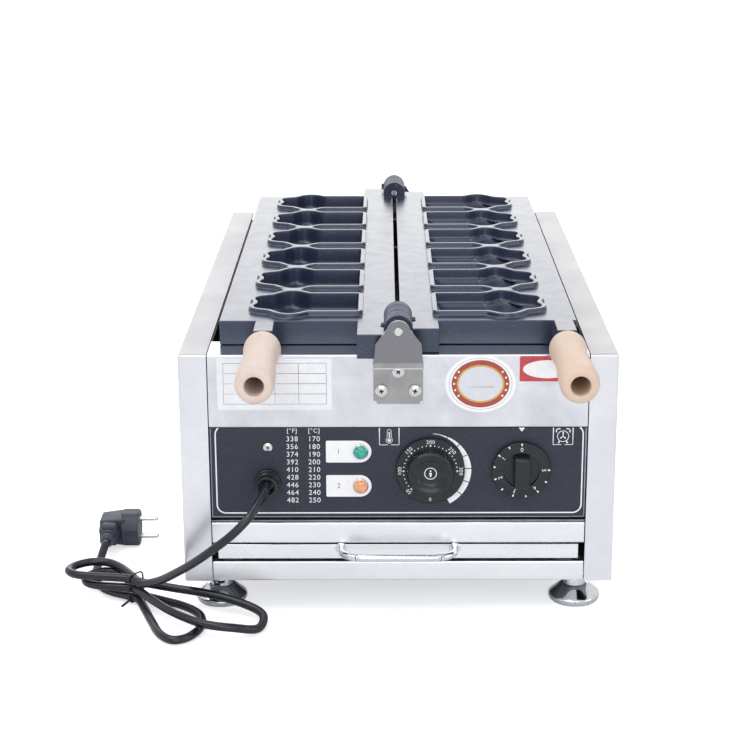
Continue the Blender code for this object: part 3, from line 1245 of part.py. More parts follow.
def build_plug():
    face_back = PLUG_X - PLUG_FACE_T
    body = rod("plug_body", PLUG_FACE_R, (face_back, PLUG_Y, PLUG_Z), (PLUG_X, PLUG_Y, PLUG_Z),
               PARTS, PLUG_RUBBER)
    wide = PLUG_FACE_R + CUT_OVERRUN
    for name, low, high in (("upper", PLUG_FLAT, wide), ("lower", -wide, -PLUG_FLAT)):
        cut(body, box(f"plug_{name}_flat", (face_back - CUT_OVERRUN, PLUG_Y - wide, PLUG_Z + low),
                      (PLUG_X + CUT_OVERRUN, PLUG_Y + wide, PLUG_Z + high), CUTTERS))
    hood_back = face_back - PLUG_HOOD_L
    hood = box("plug_hood", (hood_back, PLUG_Y - PLUG_HOOD_W / 2, PLUG_Z - PLUG_HOOD_H / 2),
               (face_back + PLUG_FACE_T / 4, PLUG_Y + PLUG_HOOD_W / 2, PLUG_Z + PLUG_HOOD_H / 2),
               CUTTERS)
    for vertex in hood.data.vertices:
        if vertex.co.x < 0:
            vertex.co.y *= PLUG_HOOD_TAPER_SCALE
            vertex.co.z *= PLUG_HOOD_TAPER_SCALE
    neck_x = face_back - PLUG_HOOD_L / 2
    neck_y = PLUG_Y - PLUG_HOOD_W / 2
    join(body, hood,
         rod("plug_neck", PLUG_NECK_R, (neck_x, PLUG_Y, PLUG_Z),
             (neck_x, neck_y - PLUG_NECK_L, PLUG_Z), CUTTERS, end_radius=PLUG_NECK_TIP_R,
             sides=SMALL_ROUND))
    for name, side in (("upper", 1), ("lower", -1)):
        z = PLUG_Z + side * PLUG_PIN_SPACING / 2
        cut(body, rod(f"plug_{name}_pin_hole", PLUG_PIN_R + PLUG_PIN_CLEAR,
                      (PLUG_X + CUT_OVERRUN, PLUG_Y, z), (PLUG_X - PLUG_PIN_SOCKET, PLUG_Y, z),
                      CUTTERS, sides=SMALL_ROUND))
        turned(f"plug_{name}_pin",
               [(0, 0), (PLUG_PIN_R, 0), (PLUG_PIN_R, PLUG_PIN_L + PLUG_PIN_SOCKET - PLUG_PIN_R / 2),
                (PLUG_PIN_R / 2, PLUG_PIN_L + PLUG_PIN_SOCKET - GAP),
                (0, PLUG_PIN_L + PLUG_PIN_SOCKET - GAP)],
               (PLUG_X - PLUG_PIN_SOCKET + GAP, PLUG_Y, z), (1, 0, 0), BRIGHT_STEEL,
               steps=SMALL_ROUND)


build_casing()
build_feet()
build_tray()
build_heating()
LEFT_SPANS, RIGHT_SPANS = knuckle_spans()
build_mould("left", -1, LEFT_SPANS, RIGHT_SPANS, HANDLE_X[0])
build_mould("right", 1, RIGHT_SPANS, LEFT_SPANS, HANDLE_X[1])
build_hinge()
build_controls()
build_cord()
build_plug()
bpy.context.view_layer.update()
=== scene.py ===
# %% [markdown]
# # Bear-shaped waffle maker
# A countertop machine: a brushed stainless casing, two coated cast mould plates that open like a
# book, turned wooden handles, a dark control panel, a crumb tray and a mains cord tied in a hank.
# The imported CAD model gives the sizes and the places. This lesson dresses it, piece by piece.
#
# Everything is in metres, X to the right, Y to the back and Z up.

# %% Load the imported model
import math

import bmesh
import bpy
from mathutils import Matrix, Vector


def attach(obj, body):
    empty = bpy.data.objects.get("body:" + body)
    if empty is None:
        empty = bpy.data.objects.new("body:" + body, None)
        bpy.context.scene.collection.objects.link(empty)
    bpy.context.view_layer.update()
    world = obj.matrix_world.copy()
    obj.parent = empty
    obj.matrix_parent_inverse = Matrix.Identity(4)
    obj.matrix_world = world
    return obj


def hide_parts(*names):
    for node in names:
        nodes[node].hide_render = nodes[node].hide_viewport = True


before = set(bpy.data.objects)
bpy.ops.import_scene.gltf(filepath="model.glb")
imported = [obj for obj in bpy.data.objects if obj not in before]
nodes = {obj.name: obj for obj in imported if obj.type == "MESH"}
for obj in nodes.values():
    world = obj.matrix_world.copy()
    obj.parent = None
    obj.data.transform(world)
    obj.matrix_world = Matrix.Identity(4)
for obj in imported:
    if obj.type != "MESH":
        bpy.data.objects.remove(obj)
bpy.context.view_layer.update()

# %% [markdown]
# ## Camera
# The photograph was taken with a long lens from a little above the machine. Placing the camera by
# numbers, and not by eye, keeps every later comparison honest: a long focal length keeps the
# casing's sides nearly parallel.

# %% Camera
CAMERA_SPOT = (-0.0128, -1.8479, 0.7105)
LOOK_DOWN, LOOK_LEFT, CAMERA_ROLL = 16.83, 0.30, -0.20      # degrees
SENSOR_MM, LENS_MM = 36, 86.97

turn = (Matrix.Rotation(math.radians(LOOK_LEFT), 4, "Z")
        @ Matrix.Rotation(math.radians(90 - LOOK_DOWN), 4, "X")
        @ Matrix.Rotation(math.radians(CAMERA_ROLL), 4, "Z"))
bpy.ops.object.camera_add(location=CAMERA_SPOT, rotation=turn.to_euler())
camera = bpy.context.object
camera.data.sensor_width, camera.data.lens = SENSOR_MM, LENS_MM
bpy.context.scene.camera = camera
print(f"camera at {CAMERA_SPOT}, lens {LENS_MM} mm")

# %% [markdown]
# ## Small helpers for modelling
# An operator works on whatever is selected, so each helper first clears the selection. A finished
# piece keeps its place in its mesh, with its object at the origin: a material on Object
# coordinates then uses the same space on every piece.

# %% Selection helpers
MM = 0.001


def only(piece):
    """Select one object alone and make it the active one."""
    bpy.ops.object.select_all(action="DESELECT")
    piece.select_set(True)
    bpy.context.view_layer.objects.active = piece


def link_new(name, data):
    """A new object in the scene, selected alone."""
    made = bpy.data.objects.new(name, data)
    bpy.context.scene.collection.objects.link(made)
    only(made)
    return made


def settle(piece, name):
    """Move an object's place, turn and scale into its mesh."""
    only(piece)
    bpy.ops.object.transform_apply(location=True, rotation=True, scale=True)
    piece.name = piece.data.name = name
    return piece


def pick_faces(piece, test):
    """Go into edit mode with only the faces selected whose normal passes the test."""
    only(piece)
    bpy.ops.object.mode_set(mode="EDIT")
    bpy.ops.mesh.select_mode(type="FACE")
    bpy.ops.mesh.select_all(action="DESELECT")
    bpy.ops.object.mode_set(mode="OBJECT")
    for face in piece.data.polygons:
        face.select = test(face.normal)
    bpy.ops.object.mode_set(mode="EDIT")


def taper(piece, test, scale, centre):
    """Scale the faces that pass the test about a centre."""
    pick_faces(piece, test)
    bpy.ops.transform.resize(value=scale, center_override=centre)
    bpy.ops.object.mode_set(mode="OBJECT")


def apply_modifier(piece, kind, **settings):
    """Add one modifier, set it and apply it."""
    only(piece)
    modifier = piece.modifiers.new(kind.lower(), kind)
    for key, value in settings.items():
        setattr(modifier, key, value)
    bpy.ops.object.modifier_apply(modifier=modifier.name)


def soften(piece, width, segments=2, angle=30):
    """Round every edge that is sharper than the angle."""
    apply_modifier(piece, "BEVEL", width=width, segments=segments, limit_method="ANGLE",
                   angle_limit=math.radians(angle), use_clamp_overlap=True)


def cut_with(piece, cutter, operation="DIFFERENCE"):
    """Cut a piece with another object, or join it on, and remove that object."""
    apply_modifier(piece, "BOOLEAN", object=cutter, operation=operation, solver="EXACT")
    bpy.data.objects.remove(cutter)


def join_all(pieces, name):
    """Put several objects into one mesh."""
    only(pieces[0])
    for piece in pieces[1:]:
        piece.select_set(True)
    bpy.ops.object.join()
    made = bpy.context.object
    made.name = made.data.name = name
    return made


def dress(piece, material, body, replaces=(), smooth=35):
    """Give a finished piece its material and its body, and hide the CAD nodes that it stands for."""
    only(piece)
    bpy.ops.object.shade_smooth_by_angle(angle=math.radians(smooth))
    # Large flat faces stay flat beside their rounded edges
    apply_modifier(piece, "WEIGHTED_NORMAL", keep_sharp=True)
    piece.data.materials.clear()
    piece.data.materials.append(material)
    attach(piece, body)
    if replaces:
        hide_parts(*replaces)
    return piece


# %% Shape helpers
def block(name, low, high):
    """A box between two corners."""
    low, high = Vector(low), Vector(high)
    bpy.ops.mesh.primitive_cube_add(size=1, location=(low + high) / 2)
    made = bpy.context.object
    made.scale = high - low
    return settle(made, name)


def turned(name, stations, start, axis, sides=48, edge=0.0, segments=2):
    """A turned piece: a disc, extruded and scaled from station to station (radius, distance)."""
    radius, along = stations[0]
    bpy.ops.mesh.primitive_circle_add(vertices=sides, radius=radius, fill_type="NGON")
    made = bpy.context.object
    bpy.ops.object.mode_set(mode="EDIT")
    bpy.ops.mesh.select_mode(type="FACE")
    bpy.ops.mesh.select_all(action="SELECT")
    for next_radius, next_along in stations[1:]:
        bpy.ops.mesh.extrude_region_move(
            TRANSFORM_OT_translate={"value": (0, 0, next_along - along)})
        share = next_radius / radius
        bpy.ops.transform.resize(value=(share, share, 1), center_override=(0, 0, 0))
        radius, along = next_radius, next_along
    face_outwards()
    made.rotation_euler = Vector(axis).to_track_quat("Z", "Y").to_euler()
    made.location = Vector(start) + Vector(axis).normalized() * stations[0][1]
    settle(made, name)
    if edge:
        soften(made, edge, segments)
    return made


def face_outwards():
    """Turn all normals of the mesh in edit mode outwards, and leave edit mode."""
    bpy.ops.mesh.select_all(action="SELECT")
    bpy.ops.mesh.normals_make_consistent(inside=False)
    bpy.ops.object.mode_set(mode="OBJECT")


def extruded(name, points, faces, shift):
    """Flat faces made solid by one extrusion."""
    data = bpy.data.meshes.new(name)
    data.from_pydata(points, [], faces)
    made = link_new(name, data)
    bpy.ops.object.mode_set(mode="EDIT")
    bpy.ops.mesh.select_all(action="SELECT")
    bpy.ops.mesh.extrude_region_move(TRANSFORM_OT_translate={"value": shift})
    face_outwards()
    return made


def from_bmesh(name, shape):
    """A finished bmesh as an object."""
    data = bpy.data.meshes.new(name)
    shape.to_mesh(data)
    shape.free()
    return link_new(name, data)


def eased_copy(node, name, width, segments=2, angle=30):
    """A CAD node's form with its sharp edges rounded, to take its place."""
    made = link_new(name, nodes[node].data.copy())
    bpy.ops.mesh.customdata_custom_splitnormals_clear()
    bpy.ops.object.mode_set(mode="EDIT")
    bpy.ops.mesh.select_all(action="SELECT")
    bpy.ops.mesh.remove_doubles(threshold=0.00002)
    bpy.ops.mesh.dissolve_limited(angle_limit=math.radians(1))
    bpy.ops.object.mode_set(mode="OBJECT")
    soften(made, width, segments, angle)
    return made


print("helpers ready")

# %% [markdown]
# ## Material groups
# Real finishes are never one flat value: rolled sheet is brushed along one direction, castings are
# speckled, and everything carries faint smudges. Each of these effects is a small node group that
# puts out a mask, a value or a height, and each material uses it with its own numbers.

# %% Node helpers
def node(tree, kind, links=None, **settings):
    """Add a node, set its properties and link or fill its inputs by name or number."""
    made = tree.nodes.new(kind)
    for key, value in settings.items():
        setattr(made, key, value)
    for key, value in (links or {}).items():
        if isinstance(value, bpy.types.NodeSocket):
            tree.links.new(value, made.inputs[key])
        else:
            made.inputs[key].default_value = value
    return made


def calc(tree, operation, *values):
    """One step of arithmetic on sockets and numbers."""
    return node(tree, "ShaderNodeMath", dict(enumerate(values)), operation=operation).outputs[0]


def spread(tree, value, low, high, out_low=0.0, out_high=1.0):
    """Stretch a span of values to another span."""
    return node(tree, "ShaderNodeMapRange", {"Value": value, "From Min": low, "From Max": high,
                "To Min": out_low, "To Max": out_high}).outputs["Result"]


def stretch(tree, spot, factors):
    """Coordinates multiplied axis by axis."""
    return node(tree, "ShaderNodeVectorMath", {0: spot, 1: factors},
                operation="MULTIPLY").outputs["Vector"]


def noise(tree, spot, scale, detail, roughness=0.5):
    """Values that wander smoothly through space."""
    return node(tree, "ShaderNodeTexNoise", {"Vector": spot, "Scale": scale, "Detail": detail,
                "Roughness": roughness}).outputs["Fac"]


def new_group(name, inputs, outputs):
    """An empty node group: an input without a value or with three numbers is a vector."""
    group = bpy.data.node_groups.new(name, "ShaderNodeTree")
    for label, value in inputs.items():
        kind = "NodeSocketFloat" if isinstance(value, float) else "NodeSocketVector"
        socket = group.interface.new_socket(label, in_out="INPUT", socket_type=kind)
        if value is not None:
            socket.default_value = value
    for label in outputs:
        group.interface.new_socket(label, in_out="OUTPUT", socket_type="NodeSocketFloat")
    given, result = group.nodes.new("NodeGroupInput"), group.nodes.new("NodeGroupOutput")
    return group, given.outputs, result.inputs


# %% Smudges: slow cloudy change of a value
smudges, given, result = new_group(
    "smudges", {"Vector": None, "Scale": 14.0, "Low": 0.3, "High": 0.45}, ["Value"])
cloud = noise(smudges, given["Vector"], given["Scale"], 5.0, 0.6)
smudges.links.new(spread(smudges, cloud, 0.32, 0.68, given["Low"], given["High"]),
                  result["Value"])

# %% Brushing: fine lines along one direction
brushing, given, result = new_group(
    "brushing", {"Vector": None, "Grain": (6.0, 900.0, 900.0)}, ["Lines", "Streaks"])
stretched = stretch(brushing, given["Vector"], given["Grain"])
brushing.links.new(noise(brushing, stretched, 1.0, 3.0), result["Lines"])
brushing.links.new(spread(brushing, noise(brushing, stretched, 0.12, 4.0), 0.3, 0.7),
                   result["Streaks"])

# %% Speckle: small dots of a second colour
DOT_EDGE = 0.07     # how far a dot's soft edge reaches past its share
speckle, given, result = new_group(
    "speckle", {"Vector": None, "Scale": 900.0, "Share": 0.66}, ["Dots"])
speckle.links.new(spread(speckle, noise(speckle, given["Vector"], given["Scale"], 1.0),
                         given["Share"], calc(speckle, "ADD", given["Share"], DOT_EDGE)),
                  result["Dots"])

# %% Rub marks: short scratches where pieces slide or meet
rub_marks, given, result = new_group("rub_marks", {"Vector": None, "Scale": 1.0}, ["Mask"])
scaled = node(rub_marks, "ShaderNodeVectorMath", {0: given["Vector"], "Scale": given["Scale"]},
              operation="SCALE").outputs["Vector"]
scratch = noise(rub_marks, stretch(rub_marks, scaled, (160.0, 1400.0, 900.0)), 1.0, 2.0)
where = noise(rub_marks, scaled, 30.0, 3.0)
rub_marks.links.new(calc(rub_marks, "MULTIPLY", spread(rub_marks, scratch, 0.60, 0.70),
                         spread(rub_marks, where, 0.48, 0.62)), result["Mask"])
print("groups:", [group.name for group in bpy.data.node_groups])

# %% [markdown]
# ## Materials
# Every finish starts from one small function that makes a Principled material and hands back its
# tree. Values that are the same all over stay on the shader's own sockets. Only what changes over
# the surface is linked: colour, roughness and the height that feeds the bump.

# %% Material helpers
def to_linear(*rgb):
    """A colour written as 0 to 255 in the display's space, as a linear one."""
    return (*((c / 255 / 12.92) if c < 11 else ((c / 255 + 0.055) / 1.055) ** 2.4
              for c in rgb), 1.0)


def new_material(name, rgb, roughness, metallic=0.0, **sockets):
    """A Principled material, its tree, its shader and its Object coordinates."""
    made = bpy.data.materials.new(name)
    made.use_nodes = True
    tree = made.node_tree
    shader = tree.nodes["Principled BSDF"]
    plain = {"Base Color": to_linear(*rgb), "Roughness": roughness, "Metallic": metallic}
    for key, value in (plain | sockets).items():
        shader.inputs[key.replace("_", " ")].default_value = value
    made.diffuse_color = to_linear(*rgb)
    return made, tree, shader, node(tree, "ShaderNodeTexCoord").outputs["Object"]


def use(tree, group, **links):
    """Place a node group in a material and hand back its outputs."""
    return node(tree, "ShaderNodeGroup", links, node_tree=group).outputs


def cloudy(tree, spot, scale, low=0.0, high=1.0):
    """Smudges of one scale between two values."""
    return use(tree, smudges, Vector=spot, Scale=scale, Low=low, High=high)["Value"]


def dotted(tree, spot, scale, share):
    """A mask of small dots."""
    return use(tree, speckle, Vector=spot, Scale=scale, Share=share)["Dots"]


def blend_colours(tree, share, first, second):
    """Mix two colours, each a display colour or a socket."""
    made = node(tree, "ShaderNodeMix", {0: share}, data_type="RGBA")
    for socket, value in ((made.inputs[6], first), (made.inputs[7], second)):
        if isinstance(value, bpy.types.NodeSocket):
            tree.links.new(value, socket)
        else:
            socket.default_value = to_linear(*value)
    return made.outputs[2]


def surface(tree, shader, colour, rough=None, height=None, distance=0.0):
    """Link what changes over a surface; the bump is the distance in metres from low to high."""
    tree.links.new(colour, shader.inputs["Base Color"])
    if rough is not None:
        tree.links.new(rough, shader.inputs["Roughness"])
    if height is not None:
        bump = node(tree, "ShaderNodeBump", {"Height": height, "Distance": distance,
                    "Strength": 1.0})
        tree.links.new(bump.outputs["Normal"], shader.inputs["Normal"])


# %% Brushed sheet metals
TOP_FOLD_Z = (0.2525, 0.2536)       # where the casing's sheets turn into their top folds


def sheet_metal(name, dark, light, grain, low, high, cloud_scale=9.0, bump=0.000006,
                top_shade_colour=None, top_rough=0.0):
    """Brushed sheet: lines along the direction whose grain number is small."""
    made, tree, shader, spot = new_material(name, light, (low + high) / 2, metallic=1.0)
    lines = use(tree, brushing, Vector=spot, Grain=grain)
    cloud = cloudy(tree, spot, cloud_scale)
    tone = calc(tree, "MULTIPLY_ADD", lines["Streaks"], cloud, cloud)
    colour = blend_colours(tree, calc(tree, "MULTIPLY", tone, 0.5), dark, light)
    rough = cloudy(tree, spot, 22.0, low, high)
    if top_shade_colour:                          # painted shade: a darker tone above the top folds, and another roughness
        height = node(tree, "ShaderNodeSeparateXYZ", {"Vector": spot}).outputs["Z"]
        top_shade_mask = spread(tree, height, *TOP_FOLD_Z)
        colour = blend_colours(tree, top_shade_mask, colour, top_shade_colour)
        rough = calc(tree, "MULTIPLY_ADD", top_shade_mask, top_rough, rough)
    surface(tree, shader, colour, rough, lines["Lines"], bump)
    return made


ALONG_X, ALONG_Y = (4.0, 1100.0, 1100.0), (1100.0, 4.0, 1100.0)
stainless_x = sheet_metal("stainless_along_x", (234, 235, 238), (248, 248, 250), ALONG_X,
                          0.26, 0.36, bump=0.000003)
# The side panels, the fascia and the brackets get a painted darker shade above the height of the top
# folds.
stainless_y = sheet_metal("stainless_along_y", (226, 226, 231), (241, 241, 244), ALONG_Y,
                          0.26, 0.36, top_shade_colour=(201, 200, 201), top_rough=0.22)
fascia_steel = sheet_metal("fascia_stainless", (208, 209, 214), (238, 238, 241),
                           (40.0, 260.0, 260.0), 0.28, 0.42, 26.0, top_shade_colour=(204, 207, 214),
                           top_rough=-0.17)
bracket_steel = sheet_metal("bracket_stainless", (150, 148, 148), (182, 180, 180),
                            (900.0, 900.0, 5.0), 0.30, 0.42, 30.0, top_shade_colour=(134, 133, 138))
galvanised = sheet_metal("galvanised_sheet", (138, 142, 148), (186, 190, 196),
                         (60.0, 60.0, 60.0), 0.38, 0.58, 46.0)


# %% Chrome, bright steel and the heater sheath
def plain_metal(name, rgb, low, high, scale, bump):
    """A turned or plated metal with faint cloudiness and fine pitting."""
    made, tree, shader, spot = new_material(name, rgb, (low + high) / 2, metallic=1.0)
    rough = cloudy(tree, spot, scale, low, high)
    pits = dotted(tree, spot, scale * 30, 0.60)
    surface(tree, shader, blend_colours(tree, pits, rgb, [c * 0.72 for c in rgb]), rough,
            rough, bump)
    return made


chrome = plain_metal("chrome_plate", (226, 227, 230), 0.05, 0.13, 40.0, 0.0001)
bright_steel = plain_metal("bright_steel", (222, 221, 220), 0.16, 0.28, 60.0, 0.0001)
element_sheath = plain_metal("heater_sheath", (92, 88, 86), 0.40, 0.58, 55.0, 0.0004)

# %% Mould coating: navy-black non-stick with light speckle, polished where the rims meet
RIM_Z, BARREL_Z, BARREL_X = (0.2811, 0.2814), (0.2772, 0.2778), (0.0142, 0.0138)

coating, tree, shader, spot = new_material(
    "mould_coating", (32, 35, 56), 0.34, Coat_Weight=0.7, Coat_Roughness=0.22, IOR=1.65,
    Specular_Tint=(0.70, 0.82, 1.0, 1.0))
place = node(tree, "ShaderNodeSeparateXYZ", {"Vector": spot}).outputs
rubbed = calc(tree, "MULTIPLY", spread(tree, place["Z"], *RIM_Z, 0.15, 1.0),
              use(tree, rub_marks, Vector=spot, Scale=1.0)["Mask"])
ground = blend_colours(tree, cloudy(tree, spot, 34.0), (18, 23, 48), (25, 30, 58))
ground = blend_colours(tree, dotted(tree, spot, 1300.0, 0.60), ground, (56, 63, 94))
barrels = calc(tree, "MULTIPLY", spread(tree, place["Z"], *BARREL_Z),
               spread(tree, calc(tree, "ABSOLUTE", place["X"]), *BARREL_X))
worn = calc(tree, "MULTIPLY_ADD", barrels, 0.22,          # the hinge barrels lost their gloss
            cloudy(tree, spot, 60.0, 0.29, 0.37))
surface(tree, shader, blend_colours(tree, rubbed, ground, (134, 138, 156)), worn,
        cloudy(tree, spot, 520.0), 0.00003)
tree.links.new(spread(tree, barrels, 0.0, 1.0, 0.7, 0.1), shader.inputs["Coat Weight"])


# %% Control panel paint, plastics and rubbers
def dark_plastic(name, rgb, dots_rgb, low, high, dot_scale, share, bump, bump_scale=700.0):
    """A moulded or painted surface with fine texture and faint dust."""
    made, tree, shader, spot = new_material(name, rgb, (low + high) / 2)
    ground = blend_colours(tree, cloudy(tree, spot, 24.0), rgb, [c * 1.14 for c in rgb])
    surface(tree, shader,
            blend_colours(tree, dotted(tree, spot, dot_scale, share), ground, dots_rgb),
            cloudy(tree, spot, 30.0, low, high), cloudy(tree, spot, bump_scale), bump)
    return made


panel_paint = dark_plastic("panel_paint", (32, 37, 49), (60, 67, 86), 0.50, 0.64, 1100.0,
                           0.58, 0.00004)
black_plastic = dark_plastic("black_plastic", (20, 22, 29), (40, 42, 52), 0.20, 0.32, 900.0,
                             0.62, 0.00001)
cord_rubber = dark_plastic("cord_rubber", (24, 26, 35), (44, 46, 58), 0.17, 0.26, 500.0,
                           0.68, 0.000008, 260.0)
plug_rubber = dark_plastic("plug_rubber", (52, 56, 68), (74, 78, 90), 0.42, 0.56, 800.0,
                           0.62, 0.00005)
ceramic = dark_plastic("cream_ceramic", (216, 208, 190), (182, 172, 152), 0.45, 0.60, 500.0,
                       0.64, 0.00006)

# %% Turned wood: pale at the left handle, more golden at the right one
wood, tree, shader, spot = new_material("turned_beech", (230, 202, 178), 0.5)
grain = use(tree, brushing, Vector=spot, Grain=(420.0, 9.0, 420.0))
rays = use(tree, brushing, Vector=spot, Grain=(1500.0, 160.0, 1500.0))
tone = blend_colours(tree, grain["Streaks"], (229, 214, 206), (214, 195, 184))
tone = blend_colours(tree, spread(tree, rays["Lines"], 0.62, 0.70), tone, (200, 168, 148))
tone = blend_colours(tree, cloudy(tree, spot, 34.0, 0.0, 0.35), tone, (220, 190, 172))
side = node(tree, "ShaderNodeSeparateXYZ", {"Vector": spot}).outputs["X"]
tone = blend_colours(tree, spread(tree, side, -0.01, 0.01, 0.0, 0.55), tone, (220, 190, 160))
surface(tree, shader, tone, cloudy(tree, spot, 80.0, 0.46, 0.62), grain["Lines"], 0.00008)


# %% Lamp lenses and printed surfaces
def lens(name, rgb, glow):
    """A faceted tinted lens, its colour and glow darkened towards its turned edge as painted shade.
    """
    made, tree, shader, spot = new_material(name, rgb, 0.10, Emission_Strength=0.16,
                                            Coat_Weight=0.6)
    facets = cloudy(tree, spot, 420.0)
    # Painted shade: the colour and the glow darken where the lens turns away from the view.
    edge_shade_mask = node(tree, "ShaderNodeLayerWeight", {"Blend": 0.5}).outputs["Facing"]
    tint_with_edge_shade = blend_colours(tree, spread(tree, edge_shade_mask, 0.30, 0.85),
                         blend_colours(tree, facets, rgb, glow), [c * 0.3 for c in rgb])
    tree.links.new(tint_with_edge_shade, shader.inputs["Emission Color"])
    surface(tree, shader, tint_with_edge_shade, None, facets, 0.0001)
    return made


def printed(name, rgb, second, low, high):
    """Ink or sticker film: nearly flat, with a faint unevenness."""
    made, tree, shader, spot = new_material(name, rgb, (low + high) / 2)
    surface(tree, shader, blend_colours(tree, cloudy(tree, spot, 120.0), rgb, second),
            cloudy(tree, spot, 50.0, low, high))
    return made


green_lens = lens("green_lens", (24, 120, 104), (60, 190, 168))
orange_lens = lens("orange_lens", (206, 128, 84), (240, 176, 128))
white_ink = printed("white_ink", (250, 251, 253), (240, 242, 246), 0.45, 0.6)
label_film = printed("label_film", (244, 245, 247), (236, 237, 241), 0.22, 0.36)
white_film = printed("white_film", (252, 252, 253), (246, 246, 249), 0.22, 0.34)
field_film = printed("field_film", (224, 226, 233), (216, 218, 227), 0.22, 0.34)
red_ink = printed("red_ink", (206, 78, 84), (190, 66, 74), 0.24, 0.36)
brick_ink = printed("brick_ink", (176, 84, 68), (160, 74, 60), 0.24, 0.36)
gold_ink = printed("gold_ink", (226, 172, 92), (212, 156, 76), 0.24, 0.36)
# A pale grey painted along the panel's fold as a highlight.
fold_highlight_paint = printed("fold_highlight_paint", (164, 168, 178), (140, 145, 156), 0.3, 0.4)
grey_ink = printed("grey_ink", (142, 144, 150), (126, 128, 134), 0.3, 0.4)
# A dark material painted as shade into the screw recesses and onto the heat tray in the gap under
# the plates.
gap_shade_paint = printed("painted_gap_shade", (26, 27, 32), (36, 37, 43), 0.4, 0.6)
print(f"{len(bpy.data.materials)} materials")

# %% [markdown]
# ## Floor and light
# A white table, a wide soft light above and to the left, and a large pale screen far behind the
# machine. The screen lies where the flat tops of the castings look to the camera like mirrors, and
# gives them their pale shine. The world gives the rest, as a white room would.

# %% Floor, world and lamps
FLOOR_GLOW, ROOM_GLOW, ROOM_SEEN, ROOM_MIRRORED = 0.58, 0.64, 0.42, 0.22

bpy.ops.mesh.primitive_plane_add(size=9, location=(0, -2.3, 0))
floor = settle(bpy.context.object, "studio_floor")
floor_paint, tree, shader, spot = new_material("floor_paint", (238, 239, 243), 0.6,
                                               Emission_Color=(1, 1, 1, 1))
surface(tree, shader, blend_colours(tree, cloudy(tree, spot, 1.5), (240, 241, 244),
                                    (236, 238, 242)))
seen = node(tree, "ShaderNodeLightPath").outputs["Is Camera Ray"]
tree.links.new(calc(tree, "MULTIPLY", seen, FLOOR_GLOW), shader.inputs["Emission Strength"])
floor.data.materials.append(floor_paint)

world = bpy.data.worlds.new("white_room")
bpy.context.scene.world = world
world.use_nodes = True
tree = world.node_tree
backdrop = tree.nodes["Background"]
backdrop.inputs["Color"].default_value = (0.98, 0.986, 1.0, 1.0)
path = node(tree, "ShaderNodeLightPath").outputs
mirrored = calc(tree, "MULTIPLY_ADD", path["Is Glossy Ray"], ROOM_MIRRORED, ROOM_GLOW)
tree.links.new(calc(tree, "MULTIPLY_ADD", path["Is Camera Ray"], ROOM_SEEN, mirrored),
               backdrop.inputs["Strength"])


def soft_light(name, spot, aim, size, power):
    """A rectangular lamp that the camera doesn't see."""
    bpy.ops.object.light_add(type="AREA", location=spot)
    lamp = bpy.context.object
    lamp.name = name
    lamp.rotation_euler = (Vector(aim) - Vector(spot)).to_track_quat("-Z", "Y").to_euler()
    lamp.data.shape = "RECTANGLE"
    lamp.data.size, lamp.data.size_y = size
    lamp.data.energy = power
    lamp.visible_camera = False


soft_light("overhead_light", (-0.9, -0.6, 2.2), (0, 0, 0.1), (1.8, 1.8), 16)
soft_light("side_fill", (1.9, -1.0, 0.9), (0, 0, 0.15), (1.2, 1.2), 5)
soft_light("front_fill", (0.2, -3.2, 1.3), (0, -0.2, 0.15), (2.4, 1.6), 19)
soft_light("strip_light", (-0.6, -1.1, 1.7), (0, -0.3, 0.1), (1.5, 0.14), 3.5)
soft_light("rear_screen", (0, 2.5, 0.98), (0, 0.1, 0.25), (3.2, 1.5), 17)
bpy.context.scene.view_settings.view_transform = "Standard"
print("floor and lamps placed")

# %% [markdown]
# ## Mains cord
# The photograph shows the cord from end to end: out of the gland, down in front of the side
# panel, five times through a wire tie as a loose hank of four loops, and on to the plug. It is one
# rubber cord, so it is one curve here. Its knots are the ones of the CAD model, and a smooth curve
# through them keeps every bend wider than the cord allows.

